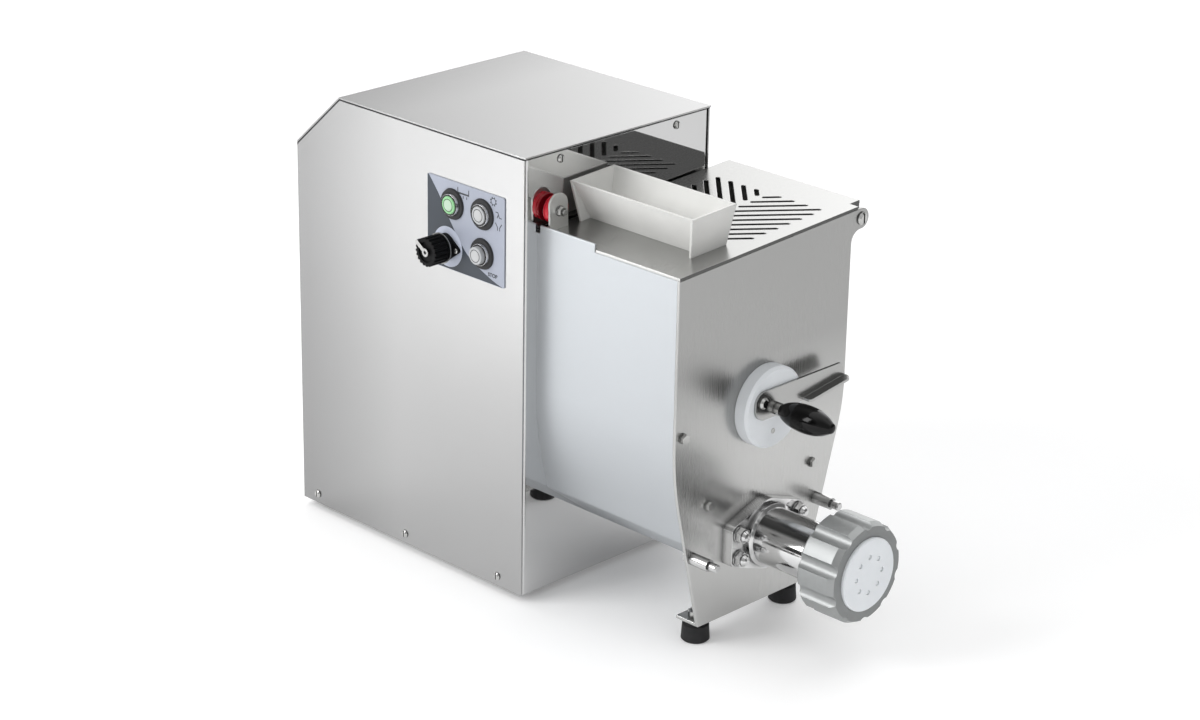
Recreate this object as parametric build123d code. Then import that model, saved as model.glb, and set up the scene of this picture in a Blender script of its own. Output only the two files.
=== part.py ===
from build123d import *

import os
from math import acos, atan2, cos, degrees, hypot, pi, radians, sin, tan

# Electric pasta maker: a counter-top kneader and extruder, made of its separate pieces.
#
# Frame while modelling, in millimetres: x to the right seen from the nozzle, y from the bulkhead's
# front face (0) to the rear, z up from the worktop. The nozzle points along -y, and the controls are
# on the -x side. At the end every piece is moved so that the origin is the centre of the footprint.

# ------------------------------------------------------------------ fits
RUNNING_CLEARANCE = 0.05
FREE_CLEARANCE = 0.3
HOLE_CLEARANCE = 0.2

# ------------------------------------------------------------------ housing
HOUSING_WIDTH = 243.0
HOUSING_DEPTH = 315.0
HOUSING_HEIGHT = 440.0
HOUSING_FOOT_HEIGHT = 7.4
HOUSING_FOOT_RADIUS = 14.0
HOUSING_FOOT_INSET = 24.0
CASING_SHEET = 1.5
CASING_FLANGE = 12.0
CASING_GAP = 0.8
BULKHEAD_SHEET = 2.0
BULKHEAD_FLANGE = 16.0
BULKHEAD_BEND = 3.0
BASE_SHEET = 2.0
BASE_FLANGE = 18.0
ROOF_SHEET = 1.5
ROOF_OVERHANG = 1.5
ROOF_SEAL = 1.5
REAR_SLOPE_DEPTH = 62.5
REAR_SLOPE_DROP = 56.7
SIDE_SCREW_HEIGHT = 17.0
SIDE_SCREW_INSET = 32.5
SIDE_SCREW_HEAD = 4.0
SIDE_SCREW_SHANK = 2.0
BULKHEAD_SCREW_OFFSET = 76.0
BULKHEAD_SCREW_DROP = 10.0
VENT_LENGTH = 62.0
VENT_WIDTH = 4.0
VENT_PITCH = 10.0
VENT_COUNT = 8
GLAND_RADIUS = 11.0
GLAND_LENGTH = 18.0
GLAND_BORE = 4.5

# ------------------------------------------------------------------ controls
PANEL_FRONT = 24.0
PANEL_WIDTH = 103.3
PANEL_DROP = 44.0
PANEL_HEIGHT = 86.5
PANEL_SHEET = 1.0
PANEL_CORNER = 2.0
BUTTON_FRONT_Y = 53.0
BUTTON_REAR_Y = 93.0
BUTTON_UPPER_DROP = 66.0
BUTTON_LOWER_DROP = 104.0
BUTTON_RING_RADIUS = 15.0
BUTTON_RING_HEIGHT = 2.0
BUTTON_BEZEL_RADIUS = 11.0
BUTTON_BEZEL_HEIGHT = 3.0
BUTTON_BARREL_RADIUS = 10.2
BUTTON_BARREL_LENGTH = 14.0
BUTTON_CAP_RADIUS = 8.4
BUTTON_CAP_HEIGHT = 1.0
STOP_CAP_HEIGHT = 4.5
BUTTON_TRAVEL = 2.5
BUTTON_STEM_RADIUS = 3.0
BUTTON_NUT_RADIUS = 14.0
BUTTON_NUT_HEIGHT = 4.0
SWITCH_SIZE = 26.0
SWITCH_LENGTH = 26.0
SOCKET_Y = 101.0
SOCKET_DROP = 109.0
SOCKET_FLANGE_HALF_Y = 21.0
SOCKET_FLANGE_HALF_Z = 15.0
SOCKET_FLANGE_HEIGHT = 3.0
SOCKET_NECK_RADIUS = 12.5
SOCKET_NECK_HEIGHT = 7.0
SOCKET_BODY_RADIUS = 10.0
SOCKET_BODY_LENGTH = 24.0
SOCKET_SCREW_OFFSET = 15.5
SOCKET_SCREW_HEAD = 2.6
SOCKET_SCREW_SHANK = 1.5
CAP_RADIUS = 13.8
CAP_LENGTH = 16.0
CAP_RIBS = 20
CAP_RIB_DEPTH = 1.2
CAP_RECESS = 1.6
CAP_PIN_RADIUS = 1.6
STRAP_SHEET = 0.8
STRAP_WIDTH = 4.0
STRAP_ANGLE = 35.0
STRAP_RING_SETBACK = 2.0

# ------------------------------------------------------------------ gearbox and drive
AXIS_X = 12.5
AUGER_Z = 93.8
PRESSURE_ANGLE = 25.0
GEAR_MODULE = 3.0
GEAR_WIDTH = 18.0
KNEADER_TEETH = 48
AUGER_TEETH = 36
PINION_TEETH = 14
PINION_ANGLE = 130.2
INPUT_MODULE = 2.0
INPUT_WIDTH = 12.0
INPUT_TEETH = 56
MOTOR_TEETH = 14
MOTOR_ANGLE = 21.5
TOOTH_BACKLASH = 0.25
GEAR_SPACING = 4.0
GEARBOX_SHEET = 10.0
BEARING_RADIUS = 21.0
SMALL_BEARING_RADIUS = 17.5
SHAFT_RADIUS = 10.0
COUNTERSHAFT_RADIUS = 7.5
MOTOR_SHAFT_RADIUS = 8.0
SPACER_RADIUS = 7.0
GEARBOX_BOLT_RADIUS = 4.0
GEARBOX_RIM = 14.0
SEAL_RADIUS = 16.0
SEAL_LIP = 2.5
MOTOR_RADIUS = 60.0
MOTOR_LENGTH = 132.0
MOTOR_FLANGE = 6.0
MOTOR_FINS = 24
MOTOR_FIN_DEPTH = 5.0
FAN_RADIUS = 46.0
FAN_BLADES = 8
FAN_WIDTH = 14.0
COWL_LENGTH = 34.0
COWL_SHEET = 1.5
CONTACTOR_WIDTH = 45.0
CONTACTOR_DEPTH = 66.0
CONTACTOR_HEIGHT = 58.0
CONTACTOR_INSET = 30.0
CONTACTOR_SETBACK = 110.0
CONTACTOR_PIT = 9.0
SENSOR_RADIUS = 9.0
SENSOR_LENGTH = 26.0
SENSOR_NUT_FLATS = 26.0
SENSOR_NUT_HEIGHT = 4.0

# ------------------------------------------------------------------ vat
VAT_LENGTH = 176.0
VAT_LEFT = -103.6
VAT_RIGHT = 126.2
FRONT_SHEET = 3.0
LEFT_SHOULDER_Z = 176.0
LEFT_SHOULDER_RADIUS = 300.0
RIGHT_SHOULDER_Z = 190.0
RIGHT_SHOULDER_RADIUS = 180.0
PLATE_BOTTOM = 20.0
PLATE_FOOT_LEFT = -66.5
PLATE_FOOT_RIGHT = 78.5
PLATE_FOOT_DEPTH = 27.0
JACKET_SHEET = 1.5
LEFT_KNEE_Z = 110.0
RIGHT_KNEE_Z = 85.0
JACKET_TROUGH_HALF = 37.0
JACKET_TROUGH_GAP = 5.5
JACKET_TAB_LENGTH = 69.0
JACKET_TAB_HEIGHT = 5.0
HEM_RADIUS = 1.2
TUB_RADIUS = 98.0
TUB_SHEET = 2.0
TUB_FLANGE = 16.0
THROAT_HALF = 15.0
CHANNEL_RADIUS = 23.3
CHANNEL_SHEET = 3.0
PLATE_BOLT_CIRCLE = 106.8
PLATE_BOLT_ANGLES = (182.0, 228.5, 312.0, 358.0)
PLATE_BOLT_RADIUS = 2.5
PLATE_BOLT_FLATS = 8.0
FRONT_FOOT_RADIUS = 13.5
FRONT_FOOT_INSET = 12.0
FRONT_FOOT_BOLT = 4.0
FRONT_FOOT_BORE = 10.0
FRONT_FOOT_NUT = 13.0

# ------------------------------------------------------------------ lid and what it carries
LID_DROP = 65.8
LID_ANGLE = 2.8624
LID_SHEET = 1.5
LID_EDGE = 2.7
LID_RIM = 2.0
LID_BACK_GAP = 3.0
LID_RIGHT = 148.0
LID_NOTCH_X = 134.0
LID_NOTCH_DEPTH = 10.5
HINGE_X = 139.5
HINGE_EAR_RADIUS = 9.8
HINGE_EAR_FILLET = 12.0
HINGE_EAR_SHEET = 2.0
HINGE_PIN_RADIUS = 4.0
HINGE_PIN_HEAD = 6.2
REAR_TAB_Y = 14.0
SLOT_WIDTH = 4.5
SLOT_PITCH = 16.2
SLOT_COUNT = 10
SLOT_LEFT = -8.0
SLOT_RIGHT = 104.0
SLOT_REAR = 26.0
SLOT_INNER = 87.0
SLOT_MIRROR = 91.5
HOPPER_OPENING = (-48.0, -26.0, 14.0, 148.0)
HOPPER_HEIGHT = 38.0
HOPPER_WALL = 2.5
HOPPER_RIM = (-66.0, -9.0, 4.0, 156.0)
HOPPER_FOOT = (-50.5, -23.5, 11.5, 150.5)
HOPPER_END_FOOT = (-62.5, -17.0)
HOPPER_SPIGOT = 4.0
BRACKET_X = -88.5
BRACKET_Y = 10.0
BRACKET_WIDTH = 23.0
BRACKET_HEIGHT = 34.0
BRACKET_SHEET = 2.0
MAGNET_RADIUS = 13.0
MAGNET_GAP = 3.0
BRACKET_BOLT_RADIUS = 2.5

# ------------------------------------------------------------------ kneader and its front lock
PADDLE_RADIUS = 94.0
PADDLE_WIDTH = 18.0
PADDLE_SHEET = 7.0
PADDLE_COUNT = 3
PADDLE_TWIST = 25.0
KNEADER_SHAFT_RADIUS = 11.0
KNEADER_HUB_RADIUS = 17.0
KNEADER_HUB_LENGTH = 24.0
TONGUE_WIDTH = 9.0
TONGUE_LENGTH = 9.0
VAT_CLEARANCE = 4.0
LOCK_RADIUS = 39.0
LOCK_THICKNESS = 14.2
LOCK_EDGE = 2.5
LOCK_SPIGOT_RADIUS = 16.8
LOCK_SPIGOT_LENGTH = 8.0
LOCK_LUG_RADIUS = 20.5
LOCK_LUG_WIDTH = 12.0
LEVER_SHEET = 2.5
LEVER_LEFT = -16.6
LEVER_RIGHT = 107.3
LEVER_TOP = 21.0
LEVER_BOTTOM = -6.6
LEVER_TAB = 9.0
LEVER_BOLT_X = -19.5
LEVER_BOLT_Z = 10.5
HANDLE_LENGTH = 66.0
HANDLE_RADIUS = 13.0
HANDLE_FERRULE_RADIUS = 6.0
HANDLE_FERRULE_LENGTH = 6.0

# ------------------------------------------------------------------ nozzle
AUGER_RADIUS = 22.8
AUGER_ROOT_RADIUS = 9.0
AUGER_PITCH = 34.0
AUGER_FLIGHT = 4.5
AUGER_HUB_LENGTH = 22.0
BARREL_RADIUS = 27.3
BARREL_FLANGE = 12.0
FLANGE_HALF_WIDTH = 49.0
FLANGE_SIDE_HALF = 19.0
FLANGE_APEX = 36.0
COLLAR_RADIUS = 30.5
COLLAR_LENGTH = 6.0
STUD_OFFSET_X = 40.0
STUD_OFFSET_Z = 12.0
STUD_RADIUS = 3.0
STUD_NUT_FLATS = 13.0
STUD_NUT_HEIGHT = 10.0
WASHER_RADIUS = 8.0
WASHER_SHEET = 1.5
NUT_REAR_Y = 263.6
NUT_LENGTH = 42.6
NUT_RADIUS = 48.1
NUT_LOBES = 10
NUT_GROOVE_RADIUS = 7.5
NUT_GROOVE_DEPTH = 5.0
NUT_CHAMFER = 3.0
NUT_LIP = 6.0
THREAD_RADIUS = 38.0
THREAD_LENGTH = 27.0
DIE_FACE_RADIUS = 34.9
DIE_PROUD = 3.1
DIE_HOLES = 8
DIE_HOLE_RADIUS = 2.3
DIE_HOLE_CIRCLE = 17.5
ACCESSORY_LEFT = (-76.0, 92.5)
ACCESSORY_RIGHT = (91.5, 102.0)
ACCESSORY_RADIUS = 5.75
ACCESSORY_LENGTH = 21.0
ACCESSORY_NECK = 2.0
ACCESSORY_TIP_RADIUS = 4.0
ACCESSORY_TIP_LENGTH = 8.0
ACCESSORY_NUT_FLATS = 10.0

# ------------------------------------------------------------------ worked out from the above
HALF_WIDTH = HOUSING_WIDTH / 2
FRONT_Y = -VAT_LENGTH
PLATE_BACK_Y = FRONT_Y + FRONT_SHEET
LID_HEIGHT = HOUSING_HEIGHT - LID_DROP
LID_SLOPE = tan(radians(LID_ANGLE))
ABOVE_LID = LID_HEIGHT + HOPPER_HEIGHT
BUTTON_UPPER_Z = HOUSING_HEIGHT - BUTTON_UPPER_DROP
BUTTON_LOWER_Z = HOUSING_HEIGHT - BUTTON_LOWER_DROP
SOCKET_Z = HOUSING_HEIGHT - SOCKET_DROP
KNEADER_Z = AUGER_Z + GEAR_MODULE * (KNEADER_TEETH + AUGER_TEETH) / 2
PINION_DISTANCE = GEAR_MODULE * (KNEADER_TEETH + PINION_TEETH) / 2
PINION_X = AXIS_X + PINION_DISTANCE * cos(radians(PINION_ANGLE))
PINION_Z = KNEADER_Z + PINION_DISTANCE * sin(radians(PINION_ANGLE))
MOTOR_DISTANCE = INPUT_MODULE * (INPUT_TEETH + MOTOR_TEETH) / 2
MOTOR_X = PINION_X + MOTOR_DISTANCE * cos(radians(MOTOR_ANGLE))
MOTOR_Z = PINION_Z + MOTOR_DISTANCE * sin(radians(MOTOR_ANGLE))
GEARBOX_FRONT_Y = BULKHEAD_SHEET
INPUT_GEAR_Y = GEARBOX_FRONT_Y + GEARBOX_SHEET + GEAR_SPACING
MAIN_GEAR_Y = INPUT_GEAR_Y + INPUT_WIDTH + GEAR_SPACING
GEARBOX_REAR_Y = MAIN_GEAR_Y + GEAR_WIDTH + GEAR_SPACING
MOTOR_Y = GEARBOX_REAR_Y + GEARBOX_SHEET
BARREL_FRONT_Y = FRONT_Y - BARREL_FLANGE
NUT_FRONT_Y = -(NUT_REAR_Y + NUT_LENGTH)
THREAD_FRONT_Y = -(NUT_REAR_Y + THREAD_LENGTH + 1.4)
LOCK_BACK_Y = FRONT_Y - HOLE_CLEARANCE
LOCK_FRONT_Y = LOCK_BACK_Y - LOCK_THICKNESS
LEVER_FRONT_Y = LOCK_FRONT_Y - LEVER_SHEET
FORWARD = (0, -1, 0)
REARWARD = (0, 1, 0)
OUTWARD = (-1, 0, 0)
INWARD = (1, 0, 0)
UPWARD = (0, 0, 1)
DOWNWARD = (0, 0, -1)


# ------------------------------------------------------------------ drawing helpers
def facing_front(y):
    """Drawing plane at y, drawn in x and z, that extrudes towards the nozzle."""
    return Plane(origin=(0, y, 0), x_dir=(1, 0, 0), z_dir=FORWARD)


def facing_right(x):
    """Drawing plane at x, drawn in y and z, that extrudes to the right."""
    return Plane(origin=(x, 0, 0), x_dir=(0, 1, 0), z_dir=INWARD)


def polygon(*points):
    """Face with sharp corners."""
    return make_face(Polyline(*points, close=True))


def rounded(points, radii):
    """Face whose corners are rounded by one radius, or by one radius each."""
    return make_face(FilletPolyline(*points, radius=radii, close=True))


def block(low, high):
    """Box between two opposite corners."""
    size = Vector(high) - Vector(low)
    return Pos((Vector(high) + Vector(low)) * 0.5) * Box(size.X, size.Y, size.Z)


def rod(start, direction, length, radius):
    """Round bar that grows from start along direction."""
    return extrude(Plane(origin=start, z_dir=direction) * Circle(radius), amount=length)


def tube(start, direction, length, outer, inner):
    """Round bar with a bore."""
    ring = Circle(outer) - Circle(inner)
    return extrude(Plane(origin=start, z_dir=direction) * ring, amount=length)


def turned(points, start, direction):
    """Body turned about an axis, from (radius, distance along the axis) points."""
    axis = Vector(direction)
    radial = Vector(0, 1, 0) if abs(axis.X) > 0.5 else Vector(1, 0, 0)
    plane = Plane(origin=start, x_dir=radial, z_dir=radial.cross(axis))
    return revolve(plane * polygon(*points), axis=Axis(start, direction))


def hexagon(start, direction, height, flats, bore=0.0):
    """Hexagonal bar or nut."""
    face = RegularPolygon(flats / 2, 6, major_radius=False)
    if bore:
        face -= Circle(bore)
    return extrude(Plane(origin=start, z_dir=direction) * face, amount=height)


def slotted_screw(seat, direction, head, shank, length):
    """Slotted pan-head screw: direction points from the seat out through the head."""
    height = 0.55 * head
    profile = [(0, 0), (head, 0), (head, 0.4 * height), (0.65 * head, height), (0, height)]
    out = Vector(direction)
    slot_plane = Plane(origin=Vector(seat) + out * (0.45 * height), z_dir=direction)
    slot = extrude(slot_plane * Rectangle(2.4 * head, 0.3 * head), amount=height)
    return turned(profile, seat, direction) - slot + rod(seat, out * -1, length, shank)


def group(pieces):
    """Separate solids kept as one node."""
    return Compound([solid for piece in pieces for solid in piece.solids()])


def lid_line(x, drop=0.0):
    """Height of the lid's top face above x, less a drop."""
    return LID_HEIGHT + LID_SLOPE * (x - AXIS_X) - drop


def rim_line(x):
    """Height of the vat's rim, which the lid rests just above."""
    return lid_line(x, LID_EDGE + FREE_CLEARANCE)


def below_line(line):
    """Region of the front view between the worktop and a sloping line."""
    return polygon((-HOUSING_WIDTH, 0), (HOUSING_WIDTH, 0), (HOUSING_WIDTH, line(HOUSING_WIDTH)),
                   (-HOUSING_WIDTH, line(-HOUSING_WIDTH)))


def on_lid():
    """Placement of what is drawn flat, with x counted from the kneader's axis, onto the lid."""
    return Pos(AXIS_X, 0, LID_HEIGHT) * Rot(0, -LID_ANGLE, 0)


HINGE_Z = rim_line(HINGE_X) - HINGE_EAR_RADIUS / cos(radians(LID_ANGLE))


# ------------------------------------------------------------------ housing
def roof_points(depth):
    """Knee and rear end of a line that runs a depth below the roof's outer face."""
    slope = hypot(REAR_SLOPE_DEPTH, REAR_SLOPE_DROP)
    knee_y = HOUSING_DEPTH - REAR_SLOPE_DEPTH - depth * (slope - REAR_SLOPE_DEPTH) / REAR_SLOPE_DROP
    end_z = HOUSING_HEIGHT - REAR_SLOPE_DROP - depth * slope / REAR_SLOPE_DEPTH
    return (knee_y, HOUSING_HEIGHT - depth), (HOUSING_DEPTH, end_z)


def roof_strip(front_y, depth, thickness):
    """Side view of a bent strip that follows the roof and its rear slope."""
    knee, end = roof_points(depth)
    under_knee, under_end = roof_points(depth + thickness)
    start = (front_y, knee[1])
    under_start = (front_y, under_knee[1])
    return polygon(start, knee, end, under_end, under_knee, under_start)


def top_cover():
    """Bent sheet that covers the top and the rear slope."""
    profile = roof_strip(-ROOF_OVERHANG, 0, ROOF_SHEET)
    return extrude(facing_right(-HALF_WIDTH) * profile, amount=HOUSING_WIDTH)


def cover_seal():
    """Dark foam strip between the cover and the panels."""
    profile = roof_strip(0, ROOF_SHEET, ROOF_SEAL)
    strip = extrude(facing_right(-HALF_WIDTH) * profile, amount=HOUSING_WIDTH)
    inner = block((-HALF_WIDTH + CASING_FLANGE, BULKHEAD_FLANGE, HOUSING_FOOT_HEIGHT),
                  (HALF_WIDTH - CASING_FLANGE, HOUSING_DEPTH - CASING_FLANGE, HOUSING_HEIGHT))
    return strip - inner


def side_panel(side):
    """Plain side panel with flanges folded inwards at the roof and at the rear."""
    depth = ROOF_SHEET + ROOF_SEAL
    knee, end = roof_points(depth)
    rear_y = HOUSING_DEPTH - CASING_SHEET
    outer = polygon((0, HOUSING_FOOT_HEIGHT), (HOUSING_DEPTH, HOUSING_FOOT_HEIGHT), end, knee, (0, knee[1]))
    clip = block((-HALF_WIDTH, 0, 0), (HALF_WIDTH, rear_y, HOUSING_HEIGHT))
    panel = extrude(facing_right(-HALF_WIDTH) * outer, amount=CASING_SHEET)
    roof_flange = roof_strip(BULKHEAD_FLANGE, depth, CASING_SHEET)
    panel += extrude(facing_right(-HALF_WIDTH) * roof_flange, amount=CASING_FLANGE)
    panel += block((-HALF_WIDTH, rear_y - CASING_SHEET, HOUSING_FOOT_HEIGHT),
                   (-HALF_WIDTH + CASING_FLANGE, rear_y, end[1]))
    panel &= clip
    for y in side_screw_rows():
        panel -= rod((-HALF_WIDTH, y, SIDE_SCREW_HEIGHT), INWARD, CASING_SHEET,
                     SIDE_SCREW_SHANK + HOLE_CLEARANCE)
    return panel if side < 0 else mirror(panel, about=Plane.YZ)


def side_screw_rows():
    """The three places of the screws along the foot of a side panel."""
    last = HOUSING_DEPTH - SIDE_SCREW_INSET + 11.0
    return SIDE_SCREW_INSET, (SIDE_SCREW_INSET + last) / 2, last


def button_places():
    """Name, y and z of each push-button."""
    return (("start", BUTTON_REAR_Y, BUTTON_UPPER_Z), ("mixer", BUTTON_FRONT_Y, BUTTON_UPPER_Z),
            ("stop", BUTTON_FRONT_Y, BUTTON_LOWER_Z))


def control_holes(start_x, depth):
    """What the controls cut out of the plate and the panel."""
    holes = rod((start_x, SOCKET_Y, SOCKET_Z), INWARD, depth, SOCKET_BODY_RADIUS + HOLE_CLEARANCE)
    for name, y, z in button_places():
        holes += rod((start_x, y, z), INWARD, depth, BUTTON_BARREL_RADIUS + HOLE_CLEARANCE)
    for y in socket_screw_rows():
        holes += rod((start_x, y, SOCKET_Z), INWARD, depth, SOCKET_SCREW_SHANK + HOLE_CLEARANCE)
    return holes


def socket_screw_rows():
    """The two screws of the socket's flange."""
    return SOCKET_Y - SOCKET_SCREW_OFFSET, SOCKET_Y + SOCKET_SCREW_OFFSET


def control_side_panel():
    """Side panel with the openings for the controls."""
    return side_panel(-1) - control_holes(-HALF_WIDTH, CASING_SHEET)


def bulkhead():
    """Polished front wall of the housing: a pan with its flanges folded to the rear."""
    half = HALF_WIDTH - CASING_SHEET - CASING_GAP
    top = HOUSING_HEIGHT - ROOF_SHEET - ROOF_SEAL
    outer = [(half, 0), (half, BULKHEAD_FLANGE), (-half, BULKHEAD_FLANGE), (-half, 0)]
    inside = half - BULKHEAD_SHEET
    inner = [(inside, BULKHEAD_SHEET), (inside, 2 * BULKHEAD_FLANGE),
             (-inside, 2 * BULKHEAD_FLANGE), (-inside, BULKHEAD_SHEET)]
    inner_bend = BULKHEAD_BEND - BULKHEAD_SHEET
    plan = rounded(outer, [BULKHEAD_BEND, 0, 0, BULKHEAD_BEND])
    plan -= rounded(inner, [inner_bend, 0, 0, inner_bend])
    pan = extrude(Pos(0, 0, HOUSING_FOOT_HEIGHT) * plan, amount=top - HOUSING_FOOT_HEIGHT)
    pan += block((-inside, BULKHEAD_SHEET, top - BULKHEAD_SHEET), (inside, BULKHEAD_FLANGE, top))
    for z in (AUGER_Z, KNEADER_Z):
        pan -= rod((AXIS_X, 0, z), REARWARD, BULKHEAD_SHEET, SEAL_RADIUS + HOLE_CLEARANCE)
    for x in bulkhead_screw_places():
        pan -= rod((x, 0, bulkhead_screw_height()), REARWARD, BULKHEAD_SHEET,
                   SIDE_SCREW_SHANK + HOLE_CLEARANCE)
    return pan


def bulkhead_screw_places():
    """The two screws near the top of the bulkhead."""
    return -BULKHEAD_SCREW_OFFSET, BULKHEAD_SCREW_OFFSET


def bulkhead_screw_height():
    """Height of those screws."""
    return HOUSING_HEIGHT - BULKHEAD_SCREW_DROP


def base_plate():
    """Bent tray that carries everything inside the housing."""
    half = HALF_WIDTH - CASING_SHEET
    front_half = half - CASING_GAP - BULKHEAD_BEND
    rear = HOUSING_DEPTH - 2 * CASING_SHEET
    floor = HOUSING_FOOT_HEIGHT
    tray = block((-half, BULKHEAD_FLANGE, floor), (half, rear, floor + BASE_SHEET))
    tray += block((-front_half, BULKHEAD_SHEET, floor), (front_half, BULKHEAD_FLANGE, floor + BASE_SHEET))
    for side in (-1, 1):
        wall = block((half - BASE_SHEET, BULKHEAD_FLANGE, floor), (half, rear, floor + BASE_FLANGE))
        for y in side_screw_rows():
            wall -= rod((half - BASE_SHEET, y, SIDE_SCREW_HEIGHT), INWARD, BASE_SHEET,
                        SIDE_SCREW_SHANK + HOLE_CLEARANCE)
        tray += wall if side > 0 else mirror(wall, about=Plane.YZ)
    return tray


def vent_columns():
    """Left end of each column of ventilation slots in the rear cover."""
    gap = (HOUSING_WIDTH - 2 * VENT_LENGTH) / 3
    return -HALF_WIDTH + gap, -HALF_WIDTH + 2 * gap + VENT_LENGTH


def rear_cover():
    """Rear panel with two columns of ventilation slots and the cable's hole."""
    top = roof_points(ROOF_SHEET + ROOF_SEAL)[1][1]
    low = HOUSING_FOOT_HEIGHT
    face = polygon((-HALF_WIDTH, low), (HALF_WIDTH, low), (HALF_WIDTH, top), (-HALF_WIDTH, top))
    first = (low + top) / 2
    for left in vent_columns():
        for row in range(VENT_COUNT):
            place = Pos(left + VENT_LENGTH / 2, first + row * VENT_PITCH)
            face -= place * SlotOverall(VENT_LENGTH, VENT_WIDTH)
    gland_x, gland_z = gland_place()
    face -= Pos(gland_x, gland_z) * Circle(GLAND_RADIUS * 0.7 + HOLE_CLEARANCE)
    for x, z in rear_screw_places():
        face -= Pos(x, z) * Circle(SIDE_SCREW_SHANK + HOLE_CLEARANCE)
    return extrude(facing_front(HOUSING_DEPTH) * face, amount=CASING_SHEET)


def rear_screw_places():
    """The six screws around the rear cover."""
    half = HALF_WIDTH - CASING_FLANGE / 2 - CASING_SHEET / 2
    low = HOUSING_FOOT_HEIGHT + BASE_FLANGE + 8.0
    high = roof_points(ROOF_SHEET + ROOF_SEAL)[1][1] - 16.0
    return [(x, z) for x in (-half, half) for z in (low, (low + high) / 2, high)]


def gland_place():
    """Where the mains cable enters, in x and z."""
    return HALF_WIDTH - 3.5 * GLAND_RADIUS, HOUSING_FOOT_HEIGHT + 3.5 * GLAND_RADIUS


def cable_gland():
    """Threaded cable gland: hexagon and dome outside, lock nut inside."""
    x, z = gland_place()
    start = (x, HOUSING_DEPTH, z)
    neck = GLAND_RADIUS * 0.7
    body = hexagon(start, REARWARD, 0.4 * GLAND_LENGTH, 2 * GLAND_RADIUS)
    dome = [(0, 0), (0.9 * GLAND_RADIUS, 0), (0.9 * GLAND_RADIUS, 0.35 * GLAND_LENGTH),
            (0.6 * GLAND_RADIUS, 0.6 * GLAND_LENGTH), (0, 0.6 * GLAND_LENGTH)]
    body += turned(dome, (x, HOUSING_DEPTH + 0.4 * GLAND_LENGTH, z), REARWARD)
    body += rod(start, FORWARD, CASING_SHEET + 8.0, neck)
    body += hexagon((x, HOUSING_DEPTH - CASING_SHEET, z), FORWARD, 5.0, 2 * GLAND_RADIUS)
    return body - rod((x, HOUSING_DEPTH - 20, z), REARWARD, 20 + GLAND_LENGTH, GLAND_BORE)


def housing_feet():
    """Four low rubber feet under the tray."""
    feet = []
    for x in (-HALF_WIDTH + HOUSING_FOOT_INSET, HALF_WIDTH - HOUSING_FOOT_INSET):
        for y in (HOUSING_FOOT_INSET, HOUSING_DEPTH - HOUSING_FOOT_INSET):
            narrow = HOUSING_FOOT_RADIUS - 2.0
            profile = [(0, 0), (narrow, 0), (HOUSING_FOOT_RADIUS, HOUSING_FOOT_HEIGHT),
                       (0, HOUSING_FOOT_HEIGHT)]
            feet.append(turned(profile, (x, y, 0), UPWARD))
    return group(feet)


def housing_screws():
    """Slotted screws of the side panels, the bulkhead, the rear cover and the socket."""
    head, shank = SIDE_SCREW_HEAD, SIDE_SCREW_SHANK
    screws = []
    for y in side_screw_rows():
        for x, out in ((-HALF_WIDTH, OUTWARD), (HALF_WIDTH, INWARD)):
            screws.append(slotted_screw((x, y, SIDE_SCREW_HEIGHT), out, head, shank,
                                        CASING_SHEET + BASE_SHEET + 1.0))
    for x in bulkhead_screw_places():
        screws.append(slotted_screw((x, 0, bulkhead_screw_height()), FORWARD, head, shank,
                                    BULKHEAD_SHEET + 5.0))
    for x, z in rear_screw_places():
        screws.append(slotted_screw((x, HOUSING_DEPTH, z), REARWARD, head, shank, CASING_SHEET))
    for y in socket_screw_rows():
        seat = (socket_seat_x() - SOCKET_FLANGE_HEIGHT, y, SOCKET_Z)
        screws.append(slotted_screw(seat, OUTWARD, SOCKET_SCREW_HEAD, SOCKET_SCREW_SHANK,
                                    SOCKET_FLANGE_HEIGHT + PANEL_SHEET + CASING_SHEET + 3.0))
    return group(screws)


# ------------------------------------------------------------------ controls
def control_plate():
    """Printed plate around the controls."""
    rear = PANEL_FRONT + PANEL_WIDTH
    top = HOUSING_HEIGHT - PANEL_DROP
    low = top - PANEL_HEIGHT
    corners = [(PANEL_FRONT, low), (rear, low), (rear, top), (PANEL_FRONT, top)]
    start = -HALF_WIDTH - PANEL_SHEET
    plate = extrude(facing_right(start) * rounded(corners, PANEL_CORNER), amount=PANEL_SHEET)
    return plate - control_holes(start, PANEL_SHEET)


def button_rings():
    """Dark sealing ring under each push-button's bezel."""
    start_x = -HALF_WIDTH - PANEL_SHEET
    return group(turned([(BUTTON_BARREL_RADIUS + HOLE_CLEARANCE, 0), (BUTTON_RING_RADIUS, 0),
                         (BUTTON_RING_RADIUS - 0.8, BUTTON_RING_HEIGHT),
                         (BUTTON_BARREL_RADIUS + HOLE_CLEARANCE, BUTTON_RING_HEIGHT)],
                        (start_x, y, z), OUTWARD)
                 for name, y, z in button_places())


def button_bezels():
    """Bright bezels whose barrels pass through the panel, with the round lock nuts behind it."""
    seat_x = -HALF_WIDTH - PANEL_SHEET - BUTTON_RING_HEIGHT
    bore = BUTTON_CAP_RADIUS + FREE_CLEARANCE
    length = BUTTON_BARREL_LENGTH
    profile = [(bore, -length), (BUTTON_BARREL_RADIUS, -length), (BUTTON_BARREL_RADIUS, 0),
               (BUTTON_BEZEL_RADIUS, 0), (BUTTON_BEZEL_RADIUS - 0.8, BUTTON_BEZEL_HEIGHT),
               (bore, BUTTON_BEZEL_HEIGHT)]
    pieces = []
    for name, y, z in button_places():
        pieces.append(turned(profile, (seat_x, y, z), OUTWARD))
        pieces.append(tube((-HALF_WIDTH + CASING_SHEET, y, z), INWARD, BUTTON_NUT_HEIGHT, BUTTON_NUT_RADIUS,
                           BUTTON_BARREL_RADIUS + RUNNING_CLEARANCE))
    return group(pieces)


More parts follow.
